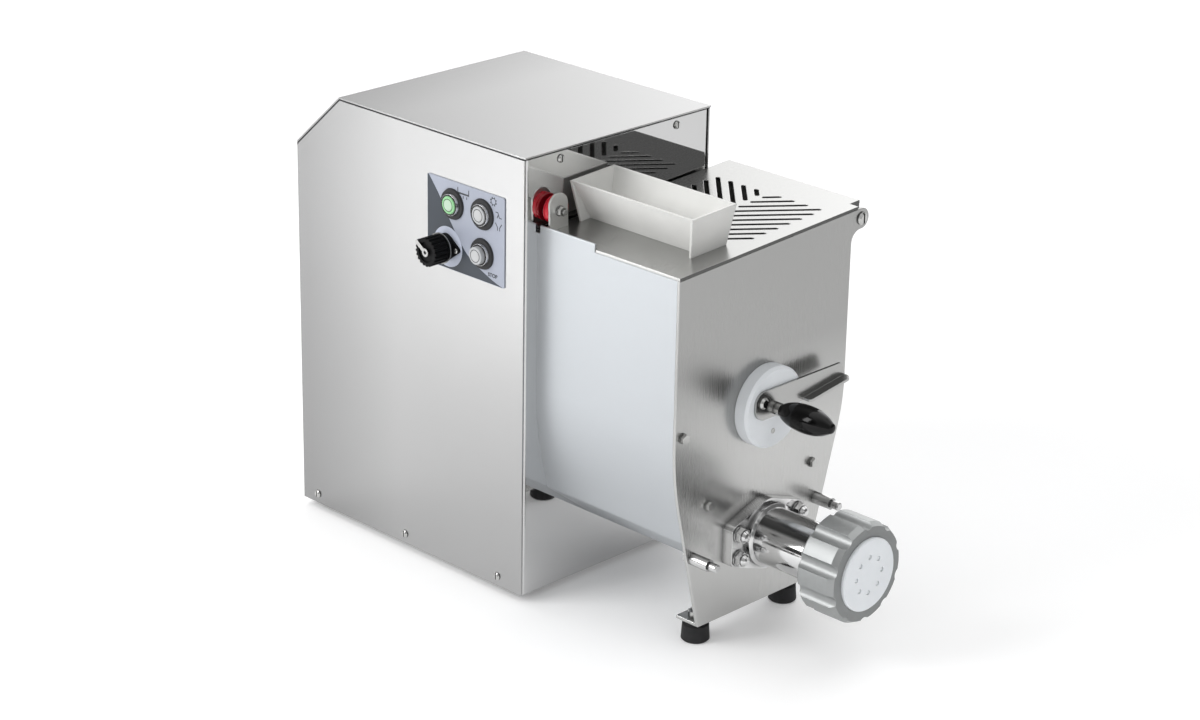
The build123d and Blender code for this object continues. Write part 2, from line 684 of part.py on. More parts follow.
def button_cap(y, z, height):
    """Moving cap with its stem, which stops short of the switch by its travel."""
    face_x = -HALF_WIDTH - PANEL_SHEET - BUTTON_RING_HEIGHT - BUTTON_BEZEL_HEIGHT
    crown = BUTTON_CAP_RADIUS - 0.6
    body = 6.0
    stem_end = switch_front_x() - face_x - BUTTON_TRAVEL - FREE_CLEARANCE
    profile = [(0, height), (crown, height), (BUTTON_CAP_RADIUS, height - 0.6),
               (BUTTON_CAP_RADIUS, -body), (BUTTON_STEM_RADIUS, -body),
               (BUTTON_STEM_RADIUS, -stem_end), (0, -stem_end)]
    return turned(profile, (face_x, y, z), OUTWARD)


def switch_front_x():
    """Where the barrels end and the switch blocks begin."""
    return -HALF_WIDTH - PANEL_SHEET - BUTTON_RING_HEIGHT + BUTTON_BARREL_LENGTH


def switch_blocks():
    """Contact block behind each push-button, with its two terminal grooves."""
    start = switch_front_x()
    half = SWITCH_SIZE / 2
    blocks = []
    for name, y, z in button_places():
        body = block((start, y - half, z - half), (start + SWITCH_LENGTH, y + half, z + half))
        for offset in (-0.5, 0.5):
            middle = z + offset * half
            body -= block((start + 0.6 * SWITCH_LENGTH, y - half, middle - 2),
                          (start + SWITCH_LENGTH, y + half, middle + 2))
        blocks.append(body)
    return group(blocks)


def socket_seat_x():
    """Outer face of the control plate."""
    return -HALF_WIDTH - PANEL_SHEET


def accessory_socket():
    """Black power socket: rhombic flange, neck and the insulated body inside."""
    seat = socket_seat_x()
    points = [(SOCKET_Y - SOCKET_FLANGE_HALF_Y, SOCKET_Z), (SOCKET_Y, SOCKET_Z + SOCKET_FLANGE_HALF_Z),
              (SOCKET_Y + SOCKET_FLANGE_HALF_Y, SOCKET_Z), (SOCKET_Y, SOCKET_Z - SOCKET_FLANGE_HALF_Z)]
    flange = rounded(points, [3.0, 9.0, 3.0, 9.0])
    body = extrude(facing_right(seat) * flange, amount=-SOCKET_FLANGE_HEIGHT)
    for y in socket_screw_rows():
        body -= rod((seat, y, SOCKET_Z), OUTWARD, SOCKET_FLANGE_HEIGHT, SOCKET_SCREW_SHANK + HOLE_CLEARANCE)
    reach = SOCKET_FLANGE_HEIGHT + SOCKET_NECK_HEIGHT
    body += rod((seat, SOCKET_Y, SOCKET_Z), OUTWARD, reach, SOCKET_NECK_RADIUS)
    body += rod((seat - reach, SOCKET_Y, SOCKET_Z), OUTWARD, 0.6 * CAP_LENGTH, spigot_radius())
    body += rod((seat, SOCKET_Y, SOCKET_Z), INWARD, SOCKET_BODY_LENGTH, SOCKET_BODY_RADIUS)
    return body


def spigot_radius():
    """Radius of the socket's spigot, which the cap screws over."""
    return CAP_RADIUS - CAP_RIB_DEPTH - 2.4


def cap_back_x():
    """Where the cap's rear edge lies."""
    return socket_seat_x() - SOCKET_FLANGE_HEIGHT - SOCKET_NECK_HEIGHT - FREE_CLEARANCE


def socket_cap():
    """Ribbed screw cap of the accessory socket, with a recessed end and a centre pin."""
    points = []
    for rib in range(CAP_RIBS):
        for step, radius in ((0.0, CAP_RADIUS), (0.4, CAP_RADIUS), (0.55, CAP_RADIUS - CAP_RIB_DEPTH),
                             (0.85, CAP_RADIUS - CAP_RIB_DEPTH)):
            angle = 2 * pi * (rib + step) / CAP_RIBS
            points.append((radius * cos(angle), radius * sin(angle)))
    start = (cap_back_x(), SOCKET_Y, SOCKET_Z)
    cap = extrude(Plane(origin=start, z_dir=OUTWARD) * polygon(*points), amount=CAP_LENGTH)
    cap -= rod(start, OUTWARD, 0.65 * CAP_LENGTH, spigot_radius() + RUNNING_CLEARANCE)
    end = (cap_back_x() - CAP_LENGTH, SOCKET_Y, SOCKET_Z)
    cap -= rod(end, INWARD, CAP_RECESS, 0.72 * CAP_RADIUS)
    pin_start = (end[0] + CAP_RECESS, SOCKET_Y, SOCKET_Z)
    return cap + rod(pin_start, OUTWARD, CAP_RECESS + FREE_CLEARANCE + STRAP_SHEET, CAP_PIN_RADIUS)


def cap_strap():
    """Bright strap from the cap's centre pin over its edge to a ring around the socket's neck."""
    end_x = cap_back_x() - CAP_LENGTH - FREE_CLEARANCE
    reach = CAP_RADIUS + FREE_CLEARANCE + STRAP_SHEET
    eye = Circle(STRAP_WIDTH) + Pos(reach / 2, 0) * Rectangle(reach, STRAP_WIDTH)
    strap = extrude(eye - Circle(CAP_PIN_RADIUS + HOLE_CLEARANCE), amount=STRAP_SHEET)
    drop = cap_back_x() + FREE_CLEARANCE + STRAP_RING_SETBACK - end_x
    strap += Pos(reach - STRAP_SHEET / 2, 0, -drop / 2) * Box(STRAP_SHEET, STRAP_WIDTH, drop)
    ring = Circle(reach) - Circle(SOCKET_NECK_RADIUS + RUNNING_CLEARANCE)
    strap += Pos(0, 0, -drop) * extrude(ring, amount=STRAP_SHEET)
    lean = radians(STRAP_ANGLE)
    plane = Plane(origin=(end_x, SOCKET_Y, SOCKET_Z), x_dir=(0, cos(lean), sin(lean)), z_dir=OUTWARD)
    return plane * strap


# ------------------------------------------------------------------ gearbox and motor
def involute(angle):
    """Involute function."""
    return tan(angle) - angle


def gear_face(teeth, module, phase):
    """Spur gear seen from the front: straight chords between root, pitch and tip of each flank."""
    pitch = module * teeth / 2
    pressure = radians(PRESSURE_ANGLE)
    base = pitch * cos(pressure)
    levels = (pitch - 1.25 * module, pitch, pitch + module)
    halves = []
    for radius in levels:
        lean = involute(acos(base / max(radius, base)))
        halves.append(pi / (2 * teeth) + involute(pressure) - lean - TOOTH_BACKLASH / (2 * pitch))
    points = []
    for tooth in range(teeth):
        centre = phase + 2 * pi * tooth / teeth
        for radius, half in zip(levels, halves):
            points.append((radius * cos(centre - half), radius * sin(centre - half)))
        for radius, half in zip(reversed(levels), reversed(halves)):
            points.append((radius * cos(centre + half), radius * sin(centre + half)))
    return polygon(*points)


def meshed_phase(teeth, phase, direction, other_teeth):
    """Phase of a gear that meshes with another one that lies in the given direction from it."""
    return direction + pi + (direction - phase) * teeth / other_teeth + pi / other_teeth


def gear_phases():
    """Angle of a tooth of each gear at rest, so that all of them are in mesh."""
    kneader = 0.0
    auger = meshed_phase(KNEADER_TEETH, kneader, -pi / 2, AUGER_TEETH)
    pinion = meshed_phase(KNEADER_TEETH, kneader, radians(PINION_ANGLE), PINION_TEETH)
    motor = meshed_phase(INPUT_TEETH, 0.0, radians(MOTOR_ANGLE), MOTOR_TEETH)
    return kneader, auger, pinion, motor


def gear(x, z, rear_y, width, face, bore, lightening=0.0):
    """Gear placed on its shaft, with five lightening holes if it is a large one."""
    if lightening:
        for place in PolarLocations(lightening, 5):
            face -= place * Circle(lightening / 3.2)
    if bore:
        face -= Circle(bore)
    return extrude(facing_front(rear_y) * Pos(x, z) * face, amount=width)


def kneader_gear():
    """Large gear of the kneader."""
    face = gear_face(KNEADER_TEETH, GEAR_MODULE, gear_phases()[0])
    return gear(AXIS_X, KNEADER_Z, MAIN_GEAR_Y + GEAR_WIDTH, GEAR_WIDTH, face,
                SHAFT_RADIUS + RUNNING_CLEARANCE, 0.3 * GEAR_MODULE * KNEADER_TEETH)


def auger_gear():
    """Gear of the auger, driven by the kneader's gear."""
    face = gear_face(AUGER_TEETH, GEAR_MODULE, gear_phases()[1])
    return gear(AXIS_X, AUGER_Z, MAIN_GEAR_Y + GEAR_WIDTH, GEAR_WIDTH, face,
                SHAFT_RADIUS + RUNNING_CLEARANCE)


def pinion_shaft():
    """Countershaft with its pinion cut in one piece."""
    face = gear_face(PINION_TEETH, GEAR_MODULE, gear_phases()[2])
    pinion = gear(PINION_X, PINION_Z, MAIN_GEAR_Y + GEAR_WIDTH, GEAR_WIDTH, face, 0)
    length = MOTOR_Y - GEARBOX_FRONT_Y
    return pinion + rod((PINION_X, GEARBOX_FRONT_Y, PINION_Z), REARWARD, length, COUNTERSHAFT_RADIUS)


def input_gear():
    """Large gear of the countershaft, driven by the motor's pinion."""
    face = gear_face(INPUT_TEETH, INPUT_MODULE, 0.0)
    return gear(PINION_X, PINION_Z, INPUT_GEAR_Y + INPUT_WIDTH, INPUT_WIDTH, face,
                COUNTERSHAFT_RADIUS + RUNNING_CLEARANCE, 0.3 * INPUT_MODULE * INPUT_TEETH)


def motor_rotor():
    """Motor shaft with its pinion at the front."""
    face = gear_face(MOTOR_TEETH, INPUT_MODULE, gear_phases()[3])
    pinion = gear(MOTOR_X, MOTOR_Z, INPUT_GEAR_Y + INPUT_WIDTH, INPUT_WIDTH, face, 0)
    length = fan_front_y() + FAN_WIDTH - INPUT_GEAR_Y
    return pinion + rod((MOTOR_X, INPUT_GEAR_Y, MOTOR_Z), REARWARD, length, MOTOR_SHAFT_RADIUS)


def drive_shaft(z):
    """Output shaft through the seal, with a tongue that drives the tool in the vat."""
    front = -(SEAL_LIP + FREE_CLEARANCE + 8.0)
    shaft = rod((AXIS_X, front, z), REARWARD, MOTOR_Y - front, SHAFT_RADIUS)
    half = TONGUE_WIDTH / 2
    tongue = rod((AXIS_X, front, z), FORWARD, TONGUE_LENGTH, SHAFT_RADIUS)
    tongue &= block((AXIS_X - half, front - TONGUE_LENGTH, z - SHAFT_RADIUS),
                    (AXIS_X + half, front, z + SHAFT_RADIUS))
    return shaft + tongue


def tool_socket(z, start_y):
    """Bore and slot that the drive shaft's tongue fits."""
    front = -(SEAL_LIP + FREE_CLEARANCE + 8.0)
    end = front - TONGUE_LENGTH - FREE_CLEARANCE
    half = TONGUE_WIDTH / 2 + HOLE_CLEARANCE
    radius = SHAFT_RADIUS + HOLE_CLEARANCE
    socket = rod((AXIS_X, front - FREE_CLEARANCE, z), REARWARD, start_y - front + 1, radius)
    slot = rod((AXIS_X, front, z), FORWARD, front - end, radius)
    slot &= block((AXIS_X - half, end, z - radius), (AXIS_X + half, front, z + radius))
    return socket + slot


def shaft_seals():
    """Lip seals that close the vat around the two output shafts."""
    inner = SHAFT_RADIUS + RUNNING_CLEARANCE
    profile = [(inner, -BULKHEAD_SHEET), (SEAL_RADIUS, -BULKHEAD_SHEET), (SEAL_RADIUS, 0),
               (SEAL_RADIUS + 2.5, 0), (SEAL_RADIUS + 1.5, SEAL_LIP), (inner, SEAL_LIP)]
    return group(turned(profile, (AXIS_X, 0, z), FORWARD) for z in (AUGER_Z, KNEADER_Z))


def gearbox_outline():
    """Hull around the bosses of the four shafts."""
    bosses = ((AXIS_X, AUGER_Z, GEAR_MODULE * AUGER_TEETH / 2 + GEARBOX_RIM),
              (AXIS_X, KNEADER_Z, GEAR_MODULE * KNEADER_TEETH / 2 + GEARBOX_RIM),
              (PINION_X, PINION_Z, SMALL_BEARING_RADIUS + GEARBOX_RIM),
              (MOTOR_X, MOTOR_Z, MOTOR_RADIUS + 0.5 * GEARBOX_RIM))
    edges = []
    for x, z, radius in bosses:
        edges += (Pos(x, z) * Circle(radius)).edges()
    return make_hull(edges)


def spacer_places():
    """The five pillars between the gearbox plates."""
    side = GEAR_MODULE * (KNEADER_TEETH / 2 + 1) + SPACER_RADIUS + 1.5
    low = GEAR_MODULE * (AUGER_TEETH / 2 + 1) + SPACER_RADIUS + 1.0
    drop = radians(35.0)
    top = MOTOR_RADIUS - SPACER_RADIUS + 4.0
    return [(AXIS_X + side, KNEADER_Z), (AXIS_X - side, KNEADER_Z),
            (AXIS_X + low * cos(drop), AUGER_Z - low * sin(drop)),
            (AXIS_X - low * cos(drop), AUGER_Z - low * sin(drop)),
            (MOTOR_X + top * sin(drop), MOTOR_Z + top * cos(drop))]


def bearing_places():
    """Centre, outer radius and bore of each bearing pair."""
    return ((AXIS_X, AUGER_Z, BEARING_RADIUS, SHAFT_RADIUS),
            (AXIS_X, KNEADER_Z, BEARING_RADIUS, SHAFT_RADIUS),
            (PINION_X, PINION_Z, SMALL_BEARING_RADIUS, COUNTERSHAFT_RADIUS))


def gearbox_plate(front_y):
    """Aluminium plate that holds one end of every shaft."""
    face = gearbox_outline()
    for x, z, outer, inner in bearing_places():
        face -= Pos(x, z) * Circle(outer + RUNNING_CLEARANCE)
    for x, z in spacer_places():
        face -= Pos(x, z) * Circle(GEARBOX_BOLT_RADIUS + HOLE_CLEARANCE)
    return extrude(facing_front(front_y + GEARBOX_SHEET) * face, amount=GEARBOX_SHEET)


def gearbox_front_plate():
    """Front gearbox plate, fixed to the bulkhead."""
    return gearbox_plate(GEARBOX_FRONT_Y)


def gearbox_rear_plate():
    """Rear gearbox plate, which also carries the motor."""
    hole = rod((MOTOR_X, GEARBOX_REAR_Y, MOTOR_Z), REARWARD, GEARBOX_SHEET, MOTOR_SHAFT_RADIUS + 4.0)
    return gearbox_plate(GEARBOX_REAR_Y) - hole


def gearbox_pillars():
    """Sleeves that hold the gearbox plates apart, with the bolts through them."""
    start = GEARBOX_FRONT_Y + GEARBOX_SHEET
    pieces = []
    for x, z in spacer_places():
        pieces.append(tube((x, start, z), REARWARD, GEARBOX_REAR_Y - start, SPACER_RADIUS,
                           GEARBOX_BOLT_RADIUS + HOLE_CLEARANCE))
        head = hexagon((x, MOTOR_Y, z), REARWARD, 5.0, 13.0)
        pieces.append(head + rod((x, MOTOR_Y, z), FORWARD, MOTOR_Y - GEARBOX_FRONT_Y, GEARBOX_BOLT_RADIUS))
    return group(pieces)


def shaft_bearings():
    """Ball bearings, one in each plate for each shaft, shown as closed rings with a race groove."""
    rings = []
    for x, z, outer, inner in bearing_places():
        bore = inner + RUNNING_CLEARANCE
        low = bore + (outer - bore) * 0.3
        high = bore + (outer - bore) * 0.7
        wide = GEARBOX_SHEET
        profile = [(bore, 0), (low, 0), (low, 1), (high, 1), (high, 0), (outer, 0), (outer, wide),
                   (high, wide), (high, wide - 1), (low, wide - 1), (low, wide), (bore, wide)]
        for start in (GEARBOX_FRONT_Y, GEARBOX_REAR_Y):
            rings.append(turned(profile, (x, start, z), REARWARD))
    return group(rings)


def fan_front_y():
    """Where the cooling fan begins, behind the motor."""
    return MOTOR_Y + MOTOR_LENGTH + 5.0


def motor_body():
    """Finned stator housing with its mounting flange."""
    points = []
    for fin in range(MOTOR_FINS):
        for step, radius in ((0.0, MOTOR_RADIUS), (0.45, MOTOR_RADIUS), (0.5, MOTOR_RADIUS - MOTOR_FIN_DEPTH),
                             (0.95, MOTOR_RADIUS - MOTOR_FIN_DEPTH)):
            angle = 2 * pi * (fin + step) / MOTOR_FINS
            points.append((radius * cos(angle), radius * sin(angle)))
    fins = facing_front(MOTOR_Y + MOTOR_LENGTH) * Pos(MOTOR_X, MOTOR_Z) * polygon(*points)
    body = extrude(fins, amount=MOTOR_LENGTH - MOTOR_FLANGE)
    body += rod((MOTOR_X, MOTOR_Y, MOTOR_Z), REARWARD, MOTOR_FLANGE, MOTOR_RADIUS)
    for x, z in spacer_places():
        if hypot(x - MOTOR_X, z - MOTOR_Z) < MOTOR_RADIUS + SPACER_RADIUS:
            body -= rod((x, MOTOR_Y, z), REARWARD, MOTOR_LENGTH, SPACER_RADIUS + 2.0)
    return body - rod((MOTOR_X, MOTOR_Y, MOTOR_Z), REARWARD, MOTOR_LENGTH,
                      MOTOR_SHAFT_RADIUS + RUNNING_CLEARANCE)


def fan_cowl():
    """Perforated cowl over the cooling fan."""
    start = MOTOR_Y + MOTOR_LENGTH
    inner = MOTOR_RADIUS - MOTOR_FIN_DEPTH - COWL_SHEET
    outer = inner + COWL_SHEET
    profile = [(inner, 0), (outer, 0), (outer, COWL_LENGTH), (0, COWL_LENGTH),
               (0, COWL_LENGTH - COWL_SHEET), (inner, COWL_LENGTH - COWL_SHEET)]
    cowl = turned(profile, (MOTOR_X, start, MOTOR_Z), REARWARD)
    for ring_radius, count in ((0.35 * inner, 6), (0.7 * inner, 12)):
        for place in PolarLocations(ring_radius, count):
            spot = place.position
            cowl -= rod((MOTOR_X + spot.X, start, MOTOR_Z + spot.Y), REARWARD, COWL_LENGTH, 0.09 * inner)
    return cowl


def motor_fan():
    """Cooling fan on the rear end of the motor shaft."""
    start = fan_front_y()
    hub = MOTOR_SHAFT_RADIUS + 5.0
    bore = MOTOR_SHAFT_RADIUS + RUNNING_CLEARANCE
    fan = tube((MOTOR_X, start, MOTOR_Z), REARWARD, FAN_WIDTH, hub, bore)
    fan += tube((MOTOR_X, start, MOTOR_Z), REARWARD, 2.0, FAN_RADIUS, bore)
    blade = Pos((hub + FAN_RADIUS) / 2 - 0.5, 0, FAN_WIDTH / 2) * Box(FAN_RADIUS - hub + 1, 2.5, FAN_WIDTH)
    plane = Plane(origin=(MOTOR_X, start, MOTOR_Z), x_dir=(1, 0, 0), z_dir=REARWARD)
    for index in range(FAN_BLADES):
        fan += plane * (Rot(0, 0, 360.0 * index / FAN_BLADES) * blade)
    return fan


def contactor():
    """Motor contactor on the tray, stepped at both terminal rows."""
    x = -HALF_WIDTH + CONTACTOR_INSET
    y = MOTOR_Y + CONTACTOR_SETBACK
    low = HOUSING_FOOT_HEIGHT + BASE_SHEET
    half = CONTACTOR_DEPTH / 2
    step = 0.7 * CONTACTOR_HEIGHT
    points = [(-half, 0), (half, 0), (half, step), (0.6 * half, step), (0.6 * half, CONTACTOR_HEIGHT),
              (-0.6 * half, CONTACTOR_HEIGHT), (-0.6 * half, step), (-half, step)]
    body = extrude(facing_right(x) * Pos(y, low) * polygon(*points), amount=CONTACTOR_WIDTH)
    for index in range(4):
        middle = x + CONTACTOR_WIDTH * (index + 0.5) / 4
        for side in (-1, 1):
            body -= rod((middle, y + side * 0.8 * half, low + step), DOWNWARD, CONTACTOR_PIT,
                        CONTACTOR_PIT / 3)
    return body


def lid_sensor():
    """Sensor behind the bulkhead that the lid's magnet works."""
    z = magnet_height()
    start = (BRACKET_X, BULKHEAD_SHEET, z)
    nut = hexagon(start, REARWARD, SENSOR_NUT_HEIGHT, SENSOR_NUT_FLATS)
    return nut + rod(start, REARWARD, SENSOR_LENGTH, SENSOR_RADIUS)


# ------------------------------------------------------------------ vat
def left_edge(z):
    """x of the vat's slanting left edge at a height."""
    rise = (z - PLATE_BOTTOM) / (LEFT_SHOULDER_Z - PLATE_BOTTOM)
    return PLATE_FOOT_LEFT + (VAT_LEFT - PLATE_FOOT_LEFT) * rise


def right_edge(z):
    """x of the vat's slanting right edge at a height."""
    rise = (z - PLATE_BOTTOM) / (RIGHT_SHOULDER_Z - PLATE_BOTTOM)
    return PLATE_FOOT_RIGHT + (VAT_RIGHT - PLATE_FOOT_RIGHT) * rise


def ear_face(left):
    """Hinge ear: a tongue from the vat's right wall that ends in a round around the hinge pin."""
    tilt = radians(LID_ANGLE)
    reach = HINGE_EAR_RADIUS / cos(tilt)
    slope = HINGE_X - left
    tongue = polygon((left, HINGE_Z - LID_SLOPE * slope - reach), (HINGE_X, HINGE_Z - reach),
                     (HINGE_X, HINGE_Z + reach), (left, HINGE_Z - LID_SLOPE * slope + reach))
    tongue += Pos(HINGE_X, HINGE_Z) * Circle(HINGE_EAR_RADIUS)
    return tongue & below_line(rim_line)


def hinge_hole():
    """Hole for a hinge pin, drawn in the front view."""
    return Pos(HINGE_X, HINGE_Z) * Circle(HINGE_PIN_RADIUS + RUNNING_CLEARANCE)


def front_plate():
    """Front wall of the vat, which runs down to a folded foot and out to the hinge ear."""
    points = [(PLATE_FOOT_LEFT, PLATE_BOTTOM), (VAT_LEFT, LEFT_SHOULDER_Z), (VAT_LEFT, rim_line(VAT_LEFT)),
              (VAT_RIGHT, rim_line(VAT_RIGHT)), (VAT_RIGHT, RIGHT_SHOULDER_Z),
              (PLATE_FOOT_RIGHT, PLATE_BOTTOM)]
    radii = [0, LEFT_SHOULDER_RADIUS, 0, 0, RIGHT_SHOULDER_RADIUS, 0]
    face = rounded(points, radii) + ear_face(VAT_RIGHT - HINGE_EAR_RADIUS)
    under_ear = (VAT_RIGHT, HINGE_Z - HINGE_EAR_RADIUS)
    corner = face.vertices().sort_by_distance(under_ear)[0]
    face = fillet(corner, radius=HINGE_EAR_FILLET)
    face -= hinge_hole()
    face -= Pos(AXIS_X, KNEADER_Z) * Circle(LOCK_SPIGOT_RADIUS + FREE_CLEARANCE)
    notch = Rectangle(LOCK_LUG_WIDTH + 2 * FREE_CLEARANCE, 2 * (LOCK_LUG_RADIUS + FREE_CLEARANCE))
    face -= Pos(AXIS_X, KNEADER_Z) * notch
    face -= Pos(AXIS_X, AUGER_Z) * Circle(barrel_spigot_radius() + HOLE_CLEARANCE)
    for x, z in plate_bolt_places():
        face -= Pos(x, z) * Circle(PLATE_BOLT_RADIUS + HOLE_CLEARANCE)
    for x, z in stud_places():
        face -= Pos(x, z) * Circle(STUD_RADIUS + HOLE_CLEARANCE)
    for x, z in (ACCESSORY_LEFT, ACCESSORY_RIGHT):
        face -= Pos(x, z) * Circle(ACCESSORY_TIP_RADIUS + HOLE_CLEARANCE)
    plate = extrude(facing_front(PLATE_BACK_Y) * face, amount=FRONT_SHEET)
    foot = block((PLATE_FOOT_LEFT, FRONT_Y, PLATE_BOTTOM),
                 (PLATE_FOOT_RIGHT, FRONT_Y + PLATE_FOOT_DEPTH, PLATE_BOTTOM + FRONT_SHEET))
    for x in front_foot_places():
        foot -= rod((x, front_foot_y(), PLATE_BOTTOM), UPWARD, FRONT_SHEET, FRONT_FOOT_BOLT + HOLE_CLEARANCE)
    return plate + foot


def front_foot_places():
    """x of the two front feet."""
    return PLATE_FOOT_LEFT + FRONT_FOOT_INSET, PLATE_FOOT_RIGHT - FRONT_FOOT_INSET


def front_foot_y():
    """y of the two front feet, at the middle of the folded foot."""
    return FRONT_Y + FRONT_FOOT_RADIUS


def plate_bolt_places():
    """The four bolts around the kneader's axis."""
    return [(AXIS_X + PLATE_BOLT_CIRCLE * cos(radians(angle)),
             KNEADER_Z + PLATE_BOLT_CIRCLE * sin(radians(angle)))
            for angle in PLATE_BOLT_ANGLES]


def stud_places():
    """The four studs of the barrel's flange."""
    return [(AXIS_X + side * STUD_OFFSET_X, AUGER_Z + level * STUD_OFFSET_Z)
            for side in (-1, 1) for level in (-1, 1)]


def jacket_face(top):
    """Outline of the vat's jacket, with a trough around the auger's channel."""
    trough = AUGER_Z - CHANNEL_RADIUS - CHANNEL_SHEET - JACKET_TROUGH_GAP
    points = [(AXIS_X - JACKET_TROUGH_HALF, trough), (left_edge(LEFT_KNEE_Z), LEFT_KNEE_Z),
              (VAT_LEFT, LEFT_SHOULDER_Z), (VAT_LEFT, top), (VAT_RIGHT, top), (VAT_RIGHT, RIGHT_SHOULDER_Z),
              (right_edge(RIGHT_KNEE_Z), RIGHT_KNEE_Z), (AXIS_X + JACKET_TROUGH_HALF, trough)]
    radii = [8, 5, LEFT_SHOULDER_RADIUS, 0, 0, RIGHT_SHOULDER_RADIUS, 5, 8]
    return rounded(points, radii)


def jacket_room():
    """Inside of the jacket, open at the top."""
    return offset(jacket_face(ABOVE_LID), amount=-JACKET_SHEET, kind=Kind.INTERSECTION)


def vat_jacket():
    """Satin outer skin of the vat, with the raised tab beside the lid and the rear hinge ear."""
    shell = jacket_face(ABOVE_LID) - jacket_room()
    shell &= below_line(rim_line)
    jacket = extrude(facing_front(0) * shell, amount=VAT_LENGTH - FRONT_SHEET)
    low = rim_line(VAT_LEFT) - 2
    high = lid_line(VAT_LEFT) + JACKET_TAB_HEIGHT - HEM_RADIUS
    tab_rear = -LID_BACK_GAP
    tab_front = tab_rear - JACKET_TAB_LENGTH
    jacket += block((VAT_LEFT, tab_front, low), (VAT_LEFT + JACKET_SHEET, tab_rear, high))
    jacket += rod((VAT_LEFT + HEM_RADIUS, tab_front, high), REARWARD, JACKET_TAB_LENGTH, HEM_RADIUS)
    ear = ear_face(VAT_RIGHT - JACKET_SHEET) - hinge_hole()
    return jacket + extrude(facing_front(-REAR_TAB_Y + HINGE_EAR_SHEET) * ear, amount=HINGE_EAR_SHEET)


def tub_room():
    """Inside of the mixing tub: a half round that opens through a throat into the auger's channel."""
    room = Pos(AXIS_X, KNEADER_Z) * Circle(TUB_RADIUS)
    room += block_face(AXIS_X - TUB_RADIUS, AXIS_X + TUB_RADIUS, KNEADER_Z, ABOVE_LID)
    room += block_face(AXIS_X - THROAT_HALF, AXIS_X + THROAT_HALF, AUGER_Z, KNEADER_Z)
    return room + Pos(AXIS_X, AUGER_Z) * Circle(CHANNEL_RADIUS)


def block_face(left, right, low, high):
    """Rectangle between two opposite corners."""
    return polygon((left, low), (right, low), (right, high), (left, high))


def mixing_tub():
    """Pressed tub with its rim flanges, its auger channel and the flange behind the front plate."""
    wide = TUB_RADIUS + TUB_SHEET
    neck = THROAT_HALF + TUB_SHEET
    skin = Pos(AXIS_X, KNEADER_Z) * Circle(wide)
    skin += block_face(AXIS_X - wide, AXIS_X + wide, KNEADER_Z, ABOVE_LID)
    skin += block_face(AXIS_X - neck, AXIS_X + neck, AUGER_Z, KNEADER_Z)
    skin += Pos(AXIS_X, AUGER_Z) * Circle(CHANNEL_RADIUS + CHANNEL_SHEET)
    rim = below_line(rim_line) - below_line(lambda x: rim_line(x) - TUB_SHEET)
    inside_left = VAT_LEFT + JACKET_SHEET
    inside_right = VAT_RIGHT - JACKET_SHEET
    rim &= block_face(inside_left, inside_right, KNEADER_Z, ABOVE_LID)
    room = tub_room()
    section = ((skin & below_line(rim_line)) + rim) - room
    length = VAT_LENGTH - FRONT_SHEET
    tub = extrude(facing_front(0) * section, amount=length)
    flange = (Pos(AXIS_X, KNEADER_Z) * Circle(TUB_RADIUS + TUB_FLANGE)) & jacket_room()
    flange -= room
    for x, z in plate_bolt_places():
        flange -= Pos(x, z) * Circle(PLATE_BOLT_RADIUS + HOLE_CLEARANCE)
    return tub + extrude(facing_front(PLATE_BACK_Y + TUB_SHEET) * flange, amount=TUB_SHEET)


def front_plate_bolts():
    """Bolts with nuts that hold the front plate to the tub, and those that hold the front feet."""
    bolts = []
    for x, z in plate_bolt_places():
        bolt = hexagon((x, FRONT_Y - 1.0, z), FORWARD, 4.0, PLATE_BOLT_FLATS)
        bolt += rod((x, FRONT_Y, z), FORWARD, 1.0, 0.62 * PLATE_BOLT_FLATS)
        bolt += rod((x, FRONT_Y, z), REARWARD, FRONT_SHEET + TUB_SHEET + 5.0, PLATE_BOLT_RADIUS)
        bolts.append(bolt + hexagon((x, PLATE_BACK_Y + TUB_SHEET, z), REARWARD, 3.5, PLATE_BOLT_FLATS))
    for x in front_foot_places():
        y = front_foot_y()
        stud = rod((x, y, PLATE_BOTTOM - 9.8), UPWARD, 9.8 + FRONT_SHEET + 9.0, FRONT_FOOT_BOLT)
        bolts.append(stud + hexagon((x, y, PLATE_BOTTOM + FRONT_SHEET), UPWARD, 6.0, FRONT_FOOT_NUT))
    return group(bolts)


def front_feet():
    """Tall rubber feet under the front plate, with a waist near the top."""
    radius = FRONT_FOOT_RADIUS
    bore = FRONT_FOOT_BOLT + HOLE_CLEARANCE
    feet = []
    for x in front_foot_places():
        profile = [(0, 0), (radius - 1.5, 0), (radius, 1.5), (radius - 1.0, PLATE_BOTTOM - 4),
                   (radius - 3.0, PLATE_BOTTOM - 3), (radius - 3.0, PLATE_BOTTOM), (bore, PLATE_BOTTOM),
                   (bore, PLATE_BOTTOM - FRONT_FOOT_BORE), (0, PLATE_BOTTOM - FRONT_FOOT_BORE)]
        feet.append(turned(profile, (x, front_foot_y(), 0), UPWARD))
    return group(feet)


# ------------------------------------------------------------------ lid
def lid_x(x):
    """Distance along the lid from the kneader's axis for a place seen from above."""
    return (x - AXIS_X) / cos(radians(LID_ANGLE))


def lid_outline(inset=0.0):
    """Lid seen from above: notched beside the vat's tab and at the hinge corner."""
    left = lid_x(VAT_LEFT) + inset
    tab_left = lid_x(VAT_LEFT + 2 * HEM_RADIUS + FREE_CLEARANCE) + inset
    right = lid_x(LID_RIGHT) - inset
    notch = lid_x(LID_NOTCH_X) - inset
    rear = -LID_BACK_GAP - inset
    front = FRONT_Y + inset
    tab_front = -LID_BACK_GAP - JACKET_TAB_LENGTH - 1.0 - inset
    notch_y = FRONT_Y + LID_NOTCH_DEPTH + inset
    return polygon((left, front), (notch, front), (notch, notch_y), (right, notch_y), (right, rear),
                   (tab_left, rear), (tab_left, tab_front), (left, tab_front))


